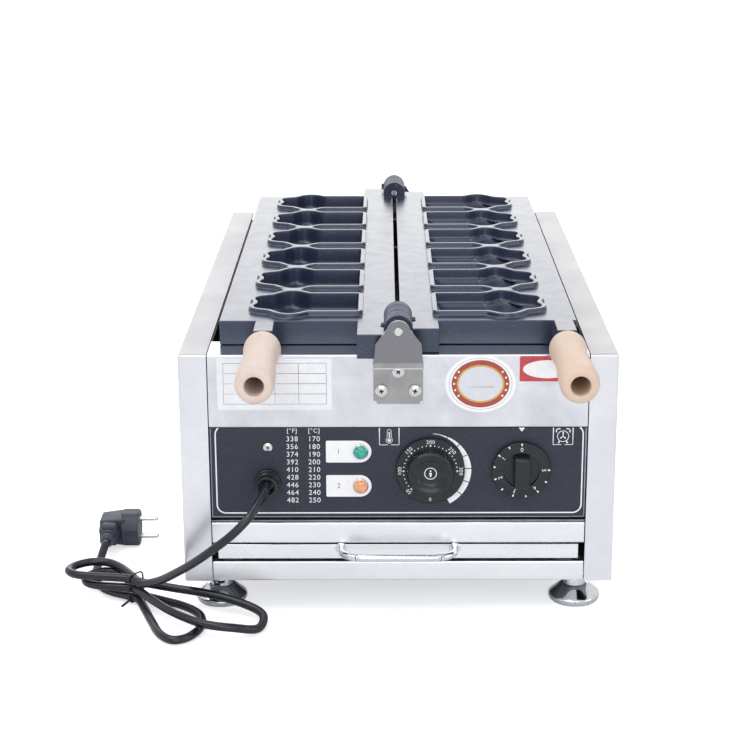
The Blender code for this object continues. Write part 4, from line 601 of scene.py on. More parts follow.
# %% Route of the cord
CORD_R = 0.004
LEAD = (
    (-0.1203, -0.2859, 0.1345), (-0.1203, -0.2939, 0.1345), (-0.1230, -0.3070, 0.1298),
    (-0.1330, -0.3260, 0.1185), (-0.1490, -0.3330, 0.1030), (-0.1680, -0.3310, 0.0870),
    (-0.1870, -0.3180, 0.0690), (-0.2060, -0.2990, 0.0510), (-0.2230, -0.2795, 0.0355),
    (-0.2398, -0.2635, 0.0252))
HANK = (
    (-0.2467, -0.2588, 0.0252), (-0.2562, -0.2514, 0.0252), (-0.2714, -0.2473, 0.0249),
    (-0.2916, -0.2431, 0.0242), (-0.3099, -0.2365, 0.0233), (-0.3183, -0.2252, 0.0227),
    (-0.3138, -0.2114, 0.0220), (-0.3001, -0.2019, 0.0218), (-0.2837, -0.2030, 0.0216),
    (-0.2695, -0.2148, 0.0215), (-0.2584, -0.2308, 0.0213), (-0.2501, -0.2437, 0.0206),
    (-0.2407, -0.2511, 0.0206), (-0.2141, -0.2601, 0.0194), (-0.1782, -0.2702, 0.0175),
    (-0.1442, -0.2828, 0.0126), (-0.1259, -0.3003, 0.0094), (-0.1294, -0.3197, 0.0047),
    (-0.1505, -0.3317, 0.0108), (-0.1793, -0.3276, 0.0132), (-0.2071, -0.3072, 0.0146),
    (-0.2300, -0.2805, 0.0153), (-0.2467, -0.2588, 0.0160), (-0.2562, -0.2514, 0.0160),
    (-0.2679, -0.2485, 0.0155), (-0.2838, -0.2445, 0.0148), (-0.2974, -0.2375, 0.0144),
    (-0.3024, -0.2261, 0.0142), (-0.2973, -0.2131, 0.0139), (-0.2859, -0.2050, 0.0131),
    (-0.2736, -0.2071, 0.0123), (-0.2635, -0.2186, 0.0108), (-0.2557, -0.2330, 0.0088),
    (-0.2501, -0.2437, 0.0068), (-0.2407, -0.2511, 0.0068), (-0.2240, -0.2573, 0.0053),
    (-0.2020, -0.2698, 0.0047), (-0.1857, -0.2895, 0.0047), (-0.1822, -0.3148, 0.0047),
    (-0.1909, -0.3368, 0.0047), (-0.2050, -0.3440, 0.0047), (-0.2183, -0.3312, 0.0047),
    (-0.2290, -0.3044, 0.0047), (-0.2391, -0.2766, 0.0053), (-0.2467, -0.2588, 0.0068),
    (-0.2562, -0.2514, 0.0068), (-0.2688, -0.2415, 0.0055))
TAIL = (
    (-0.2753, -0.2364, 0.0050), (-0.2850, -0.2270, 0.0047), (-0.2950, -0.2090, 0.0047),
    (-0.2985, -0.1880, 0.0052), (-0.2970, -0.1680, 0.0100), (-0.2945, -0.1503, 0.0180),
    (-0.2945, -0.1423, 0.0180))


def smooth_points(knots, steps):
    """Points of one smooth curve through all the knots, the same number in each span."""
    knots = [Vector(knot) for knot in knots]
    points = []
    for index in range(len(knots) - 1):
        start, end = knots[index], knots[index + 1]
        before = knots[index - 1] if index else start * 2 - end
        after = knots[index + 2] if index + 2 < len(knots) else end * 2 - start
        for step in range(steps):
            t = step / steps
            points.append(0.5 * (2 * start + (end - before) * t
                                 + (2 * before - 5 * start + 4 * end - after) * t * t
                                 + (3 * start - before - 3 * end + after) * t ** 3))
    return points + [knots[-1]]


def wire(name, points, radius, closed=False, sides=6):
    """A round wire or cord as a curve of one spline."""
    data = bpy.data.curves.new(name, "CURVE")
    data.dimensions = "3D"
    data.bevel_depth, data.bevel_resolution = radius, sides
    data.use_fill_caps = not closed
    spline = data.splines.new("POLY")
    spline.points.add(len(points) - 1)
    for point, place in zip(spline.points, points):
        point.co = (*place, 1)
    spline.use_cyclic_u = closed
    spline.use_smooth = True
    return link_new(name, data)


def wire_mesh(*settings):
    """The same wire as a mesh."""
    wire(*settings)
    bpy.ops.object.convert(target="MESH")
    return bpy.context.object


cord_points = smooth_points(LEAD + HANK + TAIL, 8)
cord = wire("mains_cord", cord_points, CORD_R)
cord.data.materials.append(cord_rubber)
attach(cord, "casing")
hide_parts("power_cord", "cord_hank", "cord_tail")

# %% [markdown]
# ### Plug
# An angled moulded plug: a round face with two flats, a squarish hood behind it, and a neck with
# ribs that leaves at the side. The ribs let a real neck bend without kinking the cord. Each form is
# turned or blocked out on its own, and they overlap as in the one-shot moulding.

# %% Plug body and pins
PIN_FACE_X, PLUG_Y, PLUG_Z = -0.2655, -0.100, 0.0180
NECK_X, HOOD_BACK_X, PIN_APART = -0.2945, -0.3055, 0.019


def plug_block(name, x, y, z):
    """A box of the plug, from its spans along X and about the plug's middle."""
    return block(name, (x[0], PLUG_Y + y[0], PLUG_Z + z[0]), (x[1], PLUG_Y + y[1], PLUG_Z + z[1]))


face = turned("plug_face", [(0.0165, 0), (0.0186, 0.0012), (0.0190, 0.004), (0.0190, 0.0165),
              (0.0182, 0.018)], (PIN_FACE_X - 0.018, PLUG_Y, PLUG_Z), (1, 0, 0), 64)
for span in ((0.0175, 0.03), (-0.03, -0.0175)):
    cut_with(face, plug_block("flat", (PIN_FACE_X - 0.02, PIN_FACE_X + 0.01), (-0.03, 0.03), span))
for span in ((-0.0275, -0.0175), (0.0175, 0.0275)):
    cut_with(face, plug_block("side_groove", (PIN_FACE_X - 0.0125, PIN_FACE_X + 0.01), span,
                              (-0.0025, 0.0025)))
soften(face, 0.0006)

hood = plug_block("plug_hood", (HOOD_BACK_X, -0.279), (-0.016, 0.016), (-0.0145, 0.0145))
taper(hood, lambda normal: normal.x < -0.9, (1, 0.82, 0.82), (HOOD_BACK_X, PLUG_Y, PLUG_Z))
bpy.ops.object.mode_set(mode="EDIT")
bpy.ops.mesh.inset(thickness=0.0028)
bpy.ops.transform.translate(value=(0.0007, 0, 0))
bpy.ops.object.mode_set(mode="OBJECT")
soften(hood, 0.0016, 3)

neck_stations = [(0.0130, 0), (0.0118, 0.012)]
for rib in range(4):
    back, radius = 0.0135 + 0.0062 * rib, 0.0102 - 0.0010 * rib
    neck_stations += [(radius - 0.0016, back), (radius - 0.0016, back + 0.0018),
                      (radius, back + 0.0022), (radius, back + 0.0058)]
neck_stations += [(0.0056, 0.0400), (0.0050, 0.0420)]
neck = turned("plug_neck", neck_stations, (NECK_X, PLUG_Y, PLUG_Z), (0, -1, 0), 40, 0.0003)
shoulder = plug_block("plug_shoulder", (NECK_X - 0.008, NECK_X + 0.0085), (-0.0245, -0.010),
                      (-0.0115, 0.0115))
soften(shoulder, 0.003, 3)
plug = join_all([face, hood, neck, shoulder], "mains_plug")
dress(plug, plug_rubber, "casing", ["plug_body"])

for name, z in (("upper", PLUG_Z + PIN_APART / 2), ("lower", PLUG_Z - PIN_APART / 2)):
    pin = turned(f"{name}_plug_pin", [(0.0024, 0), (0.0024, 0.0216), (0.0020, 0.0230),
                 (0.0011, 0.0237)], (PIN_FACE_X - 0.0047, PLUG_Y, z), (1, 0, 0), 24)
    dress(pin, bright_steel, "casing", [f"plug_{name}_pin"])

# %% [markdown]
# ### Gland and tie
# The gland grips the cord at the panel: a collar, then a nut with a rounded lip and a wide mouth.
# The tie is a thin coated wire, once round the bundle, with its two ends twisted together.

# %% Gland
PANEL_Y = -0.2746
GLAND = (-0.1203, PANEL_Y, 0.1325)

stations = [(0.0080, -0.020), (0.0080, 0.0003), (0.0114, 0.0003), (0.0120, 0.0009),
            (0.0120, 0.0034), (0.0114, 0.0042), (0.0105, 0.0043), (0.0102, 0.0048)]
for rib in range(3):
    back = 0.0056 + 0.0020 * rib
    stations += [(0.0102, back), (0.0099, back + 0.0003), (0.0099, back + 0.0009),
                 (0.0102, back + 0.0012)]
stations += [(0.0101, 0.0134), (0.0102, 0.0160), (0.0098, 0.0174), (0.0090, 0.0180),
             (0.0076, 0.0180), (0.0068, 0.0176), (0.0064, 0.0168), (0.0064, 0.0110)]
gland = turned("cord_gland_nut", stations, GLAND, (0, -1, 0), 48)
dress(gland, black_plastic, "casing", ["cord_gland"])

# %% Wire tie
TIE, TIE_TURN = Vector((-0.250, -0.250, 0)), math.radians(-38)
TIE_Z, HALF_WIDE, HALF_TALL, SQUARENESS = 0.0160, 0.0094, 0.0140, 0.42
TWIST_R, TWIST_PITCH, TWIST_STEPS = 0.0007, 0.95, 28

across = Vector((-math.sin(TIE_TURN), math.cos(TIE_TURN), 0))
ring = []
for step in range(40):
    x, z = (math.copysign(abs(part) ** SQUARENESS, part)
            for part in (math.cos(math.tau * step / 40), math.sin(math.tau * step / 40)))
    ring.append(TIE + across * x * HALF_WIDE + Vector((0, 0, TIE_Z + z * HALF_TALL)))
twist = [wire_mesh("tie_loop", ring, 0.0008, True, 3)]
for sign in (1, -1):
    strand = []
    for step in range(TWIST_STEPS):
        turn = step * TWIST_PITCH
        strand.append(TIE - across * (0.0102 + 0.00035 * step) + Vector(
            (TWIST_R * math.cos(turn) * sign, 0,
             0.0052 - 0.00009 * step + TWIST_R * math.sin(turn) * sign)))
    twist.append(wire_mesh("tie_twist", strand, 0.0006, False, 2))
tie = join_all(twist, "wire_tie")
dress(tie, black_plastic, "casing", ["cord_tie"])
print("cord, plug, gland and tie made")

# %% [markdown]
# ## Mould plates
# Each half is one casting: a bed, a hinge strip that runs past it at both ends, a lug for the
# handle, and six raised cups in the plan of a bear seen from behind. The bed is simple and can be
# blocked out by extruding its plan. A cup has a rounded rim, a drafted wall and a fillet at
# the floor, and all of these follow one outline, so each cup is a skin over rings of that outline.

# %% Outline of a bear
FRONT_Y, BACK_Y = -0.2754, 0.3606
PLATE_LOW_Z, PLATE_TOP_Z, RIM_TOP_Z, AXIS_Z = 0.2544, 0.277, 0.2815, 0.28165
TIP_X, END_X, ARM_Y, SIDE_SHARE = 0.135, 0.037, 0.042, 0.765
HALF_BEAR = (   # share of the length from the ears, and share of the arms' half width
    (0.030, 0.000), (0.022, 0.130), (0.000, 0.270), (0.004, 0.400), (0.035, 0.510),
    (0.100, 0.585), (0.170, 0.665), (0.215, 0.790), (0.270, 0.930), (0.340, 1.000),
    (0.410, 0.965), (0.465, 0.860), (0.515, 0.780), (0.570, SIDE_SHARE),
    (0.640, SIDE_SHARE), (0.760, SIDE_SHARE), (0.880, SIDE_SHARE))
CORNER_R = 0.0032   # radius of the two corners at the flat end


def bear_outline():
    """Closed plan of one hollow of the right plate, around the X axis."""
    half = [(TIP_X - along * (TIP_X - END_X), out * ARM_Y, 0) for along, out in HALF_BEAR]
    half += [(END_X + CORNER_R * (1 - math.sin(a)),
              ARM_Y * SIDE_SHARE - CORNER_R * (1 - math.cos(a)), 0)
             for a in (0.0, 0.4, 0.8, 1.2, math.pi / 2)]
    half += [(END_X, ARM_Y * share, 0) for share in (0.55, 0.45, 0.30, 0.15)]
    middle = (END_X, 0, 0)
    knots = half[::-1] + [(x, -y, z) for x, y, z in half[1:]]
    points = smooth_points([middle] + knots + [middle], 4)
    return [Vector((p.x, p.y)) for p in points[:-1]]


def mitred(points, distance):
    """The same closed outline with every side moved outwards."""
    count = len(points)
    moved = []
    for i in range(count):
        before = (points[i] - points[i - 1]).normalized()
        after = (points[(i + 1) % count] - points[i]).normalized()
        mitre = (Vector((-before.y, before.x)) + Vector((-after.y, after.x)))
        moved.append(points[i] + mitre / (1 + before.dot(after)) * distance * WINDING)
    return moved


def outset(points, distance):
    """The moved outline with as many points: where a tight corner folds, they are pushed out."""
    moved = []
    for spot in mitred(points, distance):
        for _ in range(5):
            nearest = min(points, key=lambda point: (point - spot).length_squared)
            away = spot - nearest
            if away.length >= abs(distance) * 0.985:
                break
            spot = nearest + away.normalized() * abs(distance)
        moved.append(spot)
    return moved


def clear_outset(points, distance):
    """The moved outline, less the points that fold over in tight inner corners."""
    return [spot for spot in mitred(points, distance)
            if min((spot - point).length for point in points) > distance * 0.97]


outline = bear_outline()
area = sum(a.x * b.y - b.x * a.y for a, b in zip(outline, outline[1:] + outline[:1]))
WINDING = -1 if area > 0 else 1
print(f"outline of {len(outline)} points, {abs(area) / 2 * 1e4:.1f} cm2")

# %% One cup: rim, wall and floor
RIM = (   # distance out from the hollow's edge and height from the rim's top, in mm
    (6.4, -4.75), (6.0, -4.47), (5.4, -4.36), (4.95, -3.95), (4.72, -3.30), (4.55, -2.20),
    (4.42, -1.00), (4.20, -0.42), (3.80, -0.12), (3.20, 0.0), (1.00, 0.0), (0.50, -0.10),
    (0.14, -0.42), (0.0, -0.95), (-0.40, -5.0))
FLAT_WALL = ((-1.00, -12.0), (-1.35, -14.6), (-1.85, -16.0), (-2.70, -17.0), (-3.80, -17.4),
             (-5.20, -17.5))
BOWL_WALL = ((-0.75, -8.0), (-1.05, -9.6), (-1.90, -10.6), (-3.2, -11.0))


def cup(name, wall, floor_face):
    """A skin over rings of the outline, from outside the rim down to the floor."""
    shape = bmesh.new()
    rings = [[shape.verts.new((p.x, p.y, RIM_TOP_Z + height * MM))
              for p in outset(outline, out * MM)] for out, height in RIM + wall]
    for lower, upper in zip(rings, rings[1:]):
        for i in range(len(outline)):
            j = (i + 1) % len(outline)
            shape.faces.new((lower[i], lower[j], upper[j], upper[i]))
    if floor_face:
        shape.faces.new(rings[-1])
    bmesh.ops.recalc_face_normals(shape, faces=shape.faces)
    top = max(shape.faces, key=lambda f: f.calc_center_median().z)
    if top.normal.z < 0:
        bmesh.ops.reverse_faces(shape, faces=shape.faces)
    return from_bmesh(name, shape)


def inside(x, y, edge):
    """Whether a point lies in a closed outline."""
    count = False
    for a, b in zip(edge, edge[1:] + edge[:1]):
        if (a.y > y) != (b.y > y) and x < (b.x - a.x) * (y - a.y) / (b.y - a.y) + a.x:
            count = not count
    return count


LEVEL, DEEPEST = 0.0100, 0.0175     # depths of a rounded floor below the rim
BELLY_X = 0.1017
HEAD_AND_BELLY = ((BELLY_X, 0.0245, 0.0385), (0.1188, 0.0115, 0.0200))   # middle and reaches
LEGS_X, LEGS_END_X, LEGS_Y, LEGS_RISE = 0.0840, 0.0405, 0.0290, 0.001


def bowl_depth(x, y):
    """Depth below the rim of the rounded floor of a right-hand cup, in metres."""
    depth = LEVEL
    for middle, reach_x, reach_y in HEAD_AND_BELLY:
        share = ((x - middle) / reach_x) ** 2 + (y / reach_y) ** 2
        if share < 1:
            depth = max(depth, LEVEL + (DEEPEST - LEVEL) * math.sqrt(1 - share))
    share = (y / LEGS_Y) ** 2
    if x < LEGS_X and share < 1:
        end = min(1.0, max(0.0, (x - LEGS_END_X) / 0.006))
        depth = max(depth, LEVEL + (DEEPEST - LEGS_RISE - LEVEL) * math.sqrt(1 - share)
                    * math.sqrt(end * (2 - end)))
    return depth


def bowl_floor(name, step=0.0010):
    """The rounded floor of a right-hand cup as a grid of heights."""
    edge = outset(outline, -0.0002)
    shape = bmesh.new()
    grid = {}
    for i in range(int((TIP_X - END_X) / step) + 1):
        for j in range(-int(ARM_Y / step) - 1, int(ARM_Y / step) + 1):
            if not inside(END_X + (i + 0.5) * step, (j + 0.5) * step, edge):
                continue
            corners = []
            for a, b in ((i, j), (i + 1, j), (i + 1, j + 1), (i, j + 1)):
                if (a, b) not in grid:
                    x, y = END_X + a * step, b * step
                    grid[a, b] = shape.verts.new((x, y, RIM_TOP_Z - bowl_depth(x, y)))
                corners.append(grid[a, b])
            shape.faces.new(corners)
    return from_bmesh(name, shape)


# %% Details in the flat floors of the left plate
BOSS_X, BAR_HALF_Y, BAR_RISE = 0.1010, 0.0275, 0.0019


def floor_details():
    """Three low bars across the body and an oval boss on the belly."""
    level = RIM_TOP_Z - 0.0178
    made = []
    for middle, half in ((0.0790, 0.0045), (0.0655, 0.0046), (0.0525, 0.0036)):
        bar = block("floor_bar", (middle - half, -BAR_HALF_Y, level),
                    (middle + half, BAR_HALF_Y, level + BAR_RISE))
        taper(bar, lambda normal: normal.z > 0.9, (0.78, 0.965, 1), (middle, 0, level + BAR_RISE))
        soften(bar, 0.0004)
        made.append(bar)
    boss = turned("belly_boss", [(0.0200, 0), (0.0192, 0.0016), (0.0184, 0.0020)],
                  (BOSS_X, 0, level), (0, 0, 1), 48, 0.0004)
    boss.data.transform(Matrix.Translation((BOSS_X, 0, 0)) @ Matrix.Diagonal((0.80, 1, 1, 1))
                        @ Matrix.Translation((-BOSS_X, 0, 0)))
    return made + [boss]


flat_cup = join_all([cup("flat_cup", FLAT_WALL, True)] + floor_details(), "flat_cup")
bowl_cup = join_all([cup("bowl_cup", BOWL_WALL, False), bowl_floor("bowl_floor")], "bowl_cup")
print(f"cups: {len(flat_cup.data.polygons)} and {len(bowl_cup.data.polygons)} faces")

# %% [markdown]
# ### Bed, strip and hinge knuckles
# The plan is drawn as one face and extruded. The hinge knuckles are turned barrels, joined to the
# strip, and the other plate's barrels are cut out of it with a little clearance. Rounding the
# edges of the plan first gives the casting its soft, light-catching corners.

# %% Bed with its knuckles
STRIP = (0.002, 0.0372)
BED_X, BED_Y = 0.164, (-0.2424, 0.3406)
LUG_HALF, LUG_Y = 0.00875, FRONT_Y - 0.002
FIRST_CUP, CUP_PITCH = 0.086, 0.0955
CUPS_Y = [FRONT_Y + FIRST_CUP + CUP_PITCH * number for number in range(6)]
KNUCKLE_R, KNUCKLE_ROOM, BORE_R = 0.013, 0.0138, 0.0043
KNUCKLES = {
    "left": ((-0.2909, -0.2714), (-0.2522, -0.2382), (0.3379, 0.3519), (0.3711, 0.3906)),
    "right": ((-0.2708, -0.2528), (0.3525, 0.3705)),
}
HANDLE_X = {"left": -0.122, "right": 0.152}


def extruded_plan(name, plan, low, high):
    """A flat plan as one face, extruded upwards."""
    return extruded(name, [(x, y, low) for x, y in plan], [range(len(plan))], (0, 0, high - low))


def barrel(name, radius, start, end, edge=0.0, sides=64):
    """A round bar along the hinge line."""
    return turned(name, [(radius, 0), (radius, end - start)], (0, start, AXIS_Z), (0, 1, 0),
                  sides, edge)


def casting(name, side, handle_x, strip_ends, own, other):
    """Bed, strip, lug and knuckles of one plate, with holes where its cups go."""
    inner, outer = STRIP
    lug_in, lug_out = abs(handle_x) - LUG_HALF, abs(handle_x) + LUG_HALF
    plan = [(inner, strip_ends[0]), (outer, strip_ends[0]), (outer, BED_Y[0]),
            (lug_in, BED_Y[0]), (lug_in, LUG_Y), (lug_out, LUG_Y), (lug_out, BED_Y[0]),
            (BED_X, BED_Y[0]), (BED_X, BED_Y[1]), (outer, BED_Y[1]), (outer, strip_ends[1]),
            (inner, strip_ends[1])]
    made = extruded_plan(name, [(side * x, y) for x, y in plan], PLATE_LOW_Z, PLATE_TOP_Z)
    soften(made, 0.0009, 3)
    hole = [(side * p.x, p.y) for p in clear_outset(outline, 0.0022)]
    for middle in CUPS_Y:
        cut_with(made, extruded_plan("cup_hole", [(x, y + middle) for x, y in hole],
                                     RIM_TOP_Z - 0.0190, PLATE_TOP_Z + 0.01))
    for start, end in own:
        cut_with(made, barrel("knuckle", KNUCKLE_R, start, end, 0.0009), "UNION")
    for start, end in other:
        cut_with(made, barrel("room", KNUCKLE_ROOM, start - 0.0003, end + 0.0003))
    for start, end in ((own[0][0], -0.23), (0.33, own[-1][1])):
        cut_with(made, barrel("bore", BORE_R, start - 0.003, end + 0.003, 0, 32))
    return made


def bridge(side, middle_y):
    """The web that joins two neighbouring rims at the arms."""
    upper = [(0.0125, 0.0040), (0.0, 0.0036), (-0.0125, 0.0040), (-0.0095, 0.0015), (-0.0088, 0)]
    lower = [(x, -y) for x, y in upper[-2::-1]]
    plan = upper + lower + [(0.0095, -0.0015), (0.0088, 0), (0.0095, 0.0015)]
    made = extruded_plan("rim_web", [(side * BELLY_X + x, middle_y + y) for x, y in plan],
                         PLATE_TOP_Z - 0.0005, RIM_TOP_Z + 0.00003)
    soften(made, 0.0003, 1)
    return made


def set_screw(side, y):
    """A grub screw that stands out of the side of a knuckle."""
    return turned("set_screw", [(0.0022, 0), (0.0022, 0.0034), (0.0017, 0.0040),
                  (0.0011, 0.0040), (0.0010, 0.0026)],
                  (side * 0.0118, y, AXIS_Z + 0.0015), (side, 0, 0.1), 20)


def mould(which, side, strip_ends, other, pattern):
    """One finished plate: its casting with six cups, webs and set screws."""
    own, name = KNUCKLES[which], f"{which}_mould_casting"
    pieces = [casting(name, side, HANDLE_X[which], strip_ends, own, other)]
    for middle in CUPS_Y:
        copy = link_new("cup", pattern.data.copy())
        copy.data.transform(Matrix.Translation((0, middle, 0)) @ Matrix.Diagonal((side, 1, 1, 1)))
        if side < 0:
            copy.data.flip_normals()
        pieces.append(copy)
    pieces += [bridge(side, (a + b) / 2) for a, b in zip(CUPS_Y, CUPS_Y[1:])]
    pieces += [set_screw(side, sum(own[index]) / 2) for index in (0, -1)]
    bpy.data.objects.remove(pattern)
    return dress(join_all(pieces, name), coating, f"{which}_mould",
                 [f"{which}_mould_plate"], 40)


left_casting = mould("left", -1, (-0.2906, 0.3903), KNUCKLES["right"], flat_cup)
right_casting = mould("right", 1, (-0.2705, 0.3702), KNUCKLES["left"][1:3], bowl_cup)
print(f"plates: {len(left_casting.data.polygons)} and {len(right_casting.data.polygons)} faces")

# %% [markdown]
# ### Handles
# A steel rod screws into each lug, a nut inside the bore of the grip holds it, and the grip itself
# is turned beech: fullest near the end, waisted in the middle, with a deep bore.

# %% Rods, nuts and turned grips
ROD_Z, GRIP_L, GRIP_END_Y = 0.2618, 0.1195, -0.3994
OUTER = ((0.0124, 0.0), (0.0146, 0.0012), (0.0160, 0.0036), (0.0169, 0.0085), (0.0171, 0.0150),
         (0.0169, 0.0240), (0.0165, 0.0400), (0.0155, 0.0580), (0.01505, 0.0740),
         (0.0154, 0.0880), (0.0164, 0.1010), (0.01685, 0.1090), (0.0167, 0.1150),
         (0.0160, 0.1185), (0.0153, 0.1195))
BORE = ((0.0100, 0), (0.0090, 0.0004), (0.0084, 0.0014), (0.0083, 0.0520))   # radius and depth
grip_stations = [(p.x, GRIP_L - p.y)
                 for p in smooth_points([(r, y, 0) for r, y in OUTER], 3)][::-1]
grip_stations += [(radius, GRIP_L - depth) for radius, depth in BORE]

for side_name, x in HANDLE_X.items():
    for piece, stations, y, sides, edge, material, slot, node_name, smooth in (
            ("rod", [(0.0044, 0), (0.0050, 0.0008), (0.0050, 0.0300), (0.0050, 0.0966),
                     (0.0042, 0.0976), (0.0038, 0.0980)], -0.2554, 32, 0, bright_steel,
             "bright_steel", "handle_rod", 35),
            ("grip", grip_stations, GRIP_END_Y + GRIP_L, 72, 0, wood, "turned_wood",
             "wooden_grip", 50),
            ("nut", [(0.0068, 0), (0.0074, 0.0006), (0.0074, 0.0044), (0.0068, 0.0050)],
             -0.3477, 6, 0.0002, bright_steel, "bright_steel", "handle_nut", 25)):
        made = turned(f"{side_name}_{piece}", stations, (x, y, ROD_Z), (0, -1, 0), sides, edge)
        dress(made, material, f"{side_name}_mould", [f"{side_name}_{node_name}"], smooth)
print("handles made")

# %% [markdown]
# ## Casing
# The casing is folded from brushed sheet. The CAD model already has the folds, so each sheet keeps
# its form, with its cut edges rounded a little: on the real machine it is these edges that catch
# the light as thin bright lines. The lines of the brushing run along each sheet's longest side.

# %% Sheets of the casing
for name, metal in (("left_side_panel", stainless_y), ("right_side_panel", stainless_y),
                    ("back_panel", stainless_x), ("front_mid_rail", stainless_x),
                    ("front_bottom_rail", stainless_x), ("front_fascia", fascia_steel)):
    dress(eased_copy(name, name + "_sheet", 0.0004), metal, "casing", [name])
print("sheets softened")

# %% [markdown]
# ### Hinge brackets
# Each bracket is one 3 mm plate, cut to a rounded tip round the pin, folded twice and held by
# three screws. Its edge faces and a strip along the front bracket's fold take a brighter steel as a
# painted highlight, and its upper part a painted darker shade.

# %% Brackets
for end in ("front", "rear"):
    bracket = eased_copy(f"{end}_hinge_bracket", f"{end}_bracket_plate", 0.0005, 3, 40)
    dress(bracket, bracket_steel, "casing", [f"{end}_hinge_bracket"])
    # Painted highlight: the faces that don't look to the front or back take the brighter steel.
    bracket.data.materials.append(bright_steel)
    for face in bracket.data.polygons:
        face.material_index = int(abs(face.normal.y) < 0.86)
    if end == "front":                      # painted highlight: a bright strip along the fold's lower edge
        corners = [vertex.co for vertex in bracket.data.vertices]
        face_y = min(p.y for p in corners)
        fold_z = min(p.z for p in corners if p.y < face_y + 0.001)
        fold = block("bracket_fold_highlight", (-0.0220, face_y - 0.00005, fold_z),
                     (0.0220, face_y + 0.0006, fold_z + 0.0009))
        dress(fold, bright_steel, "casing")


# %% Pan-head screws with a cross recess
DOME_START = 0.34       # the head's rim is this share of its rise, and a dome makes the rest


def cross_screw(name, seat, facing, radius, rise, shank, shank_length, turn, node_name):
    """A domed head with a recess of two crossed sloping slots, and its shank behind it."""
    dome = [(radius * math.cos(a), rise * (DOME_START + (1 - DOME_START) * math.sin(a)))
            for a in (0.0, 0.35, 0.7, 1.05, 1.35)]
    made = turned(name, [(shank, -shank_length), (shank, 0), (radius * 0.97, 0),
                  (radius, rise * 0.12)] + dome + [(radius * 0.05, rise)],
                  seat, (0, facing, 0), 40)
    half = Vector((radius * 0.56, rise * 0.62, radius * 0.14))
    for quarter in range(2):
        slot = block("recess", -half, half)
        taper(slot, lambda normal: normal.y > 0.9, (0.35, 1, 0.6), (0, half.y, 0))
        slot.data.transform(
            Matrix.Translation(Vector(seat) + Vector((0, facing * rise * 1.02, 0)))
            @ Matrix.Rotation(turn + quarter * math.pi / 2, 4, "Y")
            @ Matrix.Diagonal((1, -facing, 1, 1)))
        if facing > 0:
            slot.data.flip_normals()
        cut_with(made, slot)
    dress(made, bright_steel, "casing", [node_name], 30)
    made.data.materials.append(gap_shade_paint)            # painted shade: the recess faces take the dark material
    for face in made.data.polygons:
        offset = face.center - Vector(seat)
        out = math.hypot(offset.x, offset.z) / radius
        surface_y = rise * (DOME_START + (1 - DOME_START) * math.sqrt(max(0, 1 - out * out)))
        face.material_index = int(
            out < 0.6 and rise * 0.2 < offset.y * facing < surface_y - 0.0002)


SCREWS = ((0.0, 0.2394), (-0.0153, 0.2212), (0.0153, 0.2212))
for end, facing, seat_y in (("front", -1, FRONT_Y - 0.0036), ("rear", 1, BACK_Y + 0.0036)):
    for number, (x, z) in enumerate(SCREWS, 1):
        cross_screw(f"{end}_screw_{number}", (x, seat_y, z), facing, 0.0060, 0.0032, 0.0030,
                    0.0120, 0.35 + 0.5 * number, f"{end}_bracket_screw_{number}")
cross_screw("panel_mount_screw", (-0.1197, PANEL_Y - 0.0003, 0.1658), -1, 0.0045, 0.0024, 0.0020,
            0.0100, 0.6, "panel_screw")

# %% Hinge pins with their collars
PIN = [(0.0034, 0), (0.0040, 0.0006), (0.0040, 0.0033), (0.0076, 0.0033), (0.0080, 0.0037),
       (0.0080, 0.0081), (0.0076, 0.0085), (0.0040, 0.0085), (0.0040, 0.0607), (0.0034, 0.0615)]
for end, inwards, outer_y in (("front", 1, -0.2997), ("rear", -1, 0.3994)):
    pin = turned(f"{end}_pin", PIN, (0, outer_y, AXIS_Z), (0, inwards, 0), 40)
    dress(pin, bright_steel, "casing", [f"{end}_hinge_pin"])
print("brackets, screws and pins made")

# %% [markdown]
# ### Feet
# A levelling foot: a pressed dome with a rolled rim on the floor, a collar, and a threaded
# stud up into the boss of the floor pan. The thread is a row of fine rings, close enough to read
# as one.

# %% Levelling feet
FOOT_X, FOOT_Y = {"left": -0.169, "right": 0.169}, {"front": -0.2404, "rear": 0.3256}
THREAD_Z, THREAD_PITCH, THREAD_TURNS, THREAD_R, CORE_R = 0.0331, 0.00125, 14, 0.0040, 0.0036

foot_profile = [(0.0200, 0), (0.0222, 0.0006), (0.0236, 0.0022), (0.0242, 0.0042),
                (0.0242, 0.0058), (0.0238, 0.0067), (0.0222, 0.0082), (0.0195, 0.0105),
                (0.0162, 0.0136), (0.0137, 0.0160), (0.0120, 0.0168), (0.0106, 0.0172),
                (0.0105, 0.0180), (0.0105, 0.0226), (0.0101, 0.0232), (0.0074, 0.0234),
                (0.0074, 0.0322), (0.0070, 0.0327), (0.0040, 0.0327)]
for ring_number in range(THREAD_TURNS):
    z = THREAD_Z + THREAD_PITCH * ring_number
    foot_profile += [(CORE_R, z), (THREAD_R, z + 0.00045), (CORE_R, z + 0.0009)]
foot_profile += [(0.0034, 0.0508)]
for end, y in FOOT_Y.items():
    for side, x in FOOT_X.items():
        foot = turned(f"{end}_{side}_leveller_foot", foot_profile, (x, y, 0), (0, 0, 1), 64)
        dress(foot, chrome, f"{end}_{side}_leveller", [f"{end}_{side}_foot"], 50)
print("feet made")

# %% [markdown]
# ### Crumb tray
# A shallow tray with a plain front, and a bow handle bent from one chromed rod that is welded on
# behind two small washers.

# %% Tray and bow handle
BOW_X, BOW_Y, SEAT_Z, BAR_Z, BEND, BOW_R = 0.053, FRONT_Y - 0.024, 0.0663, 0.0660, 0.019, 0.0035

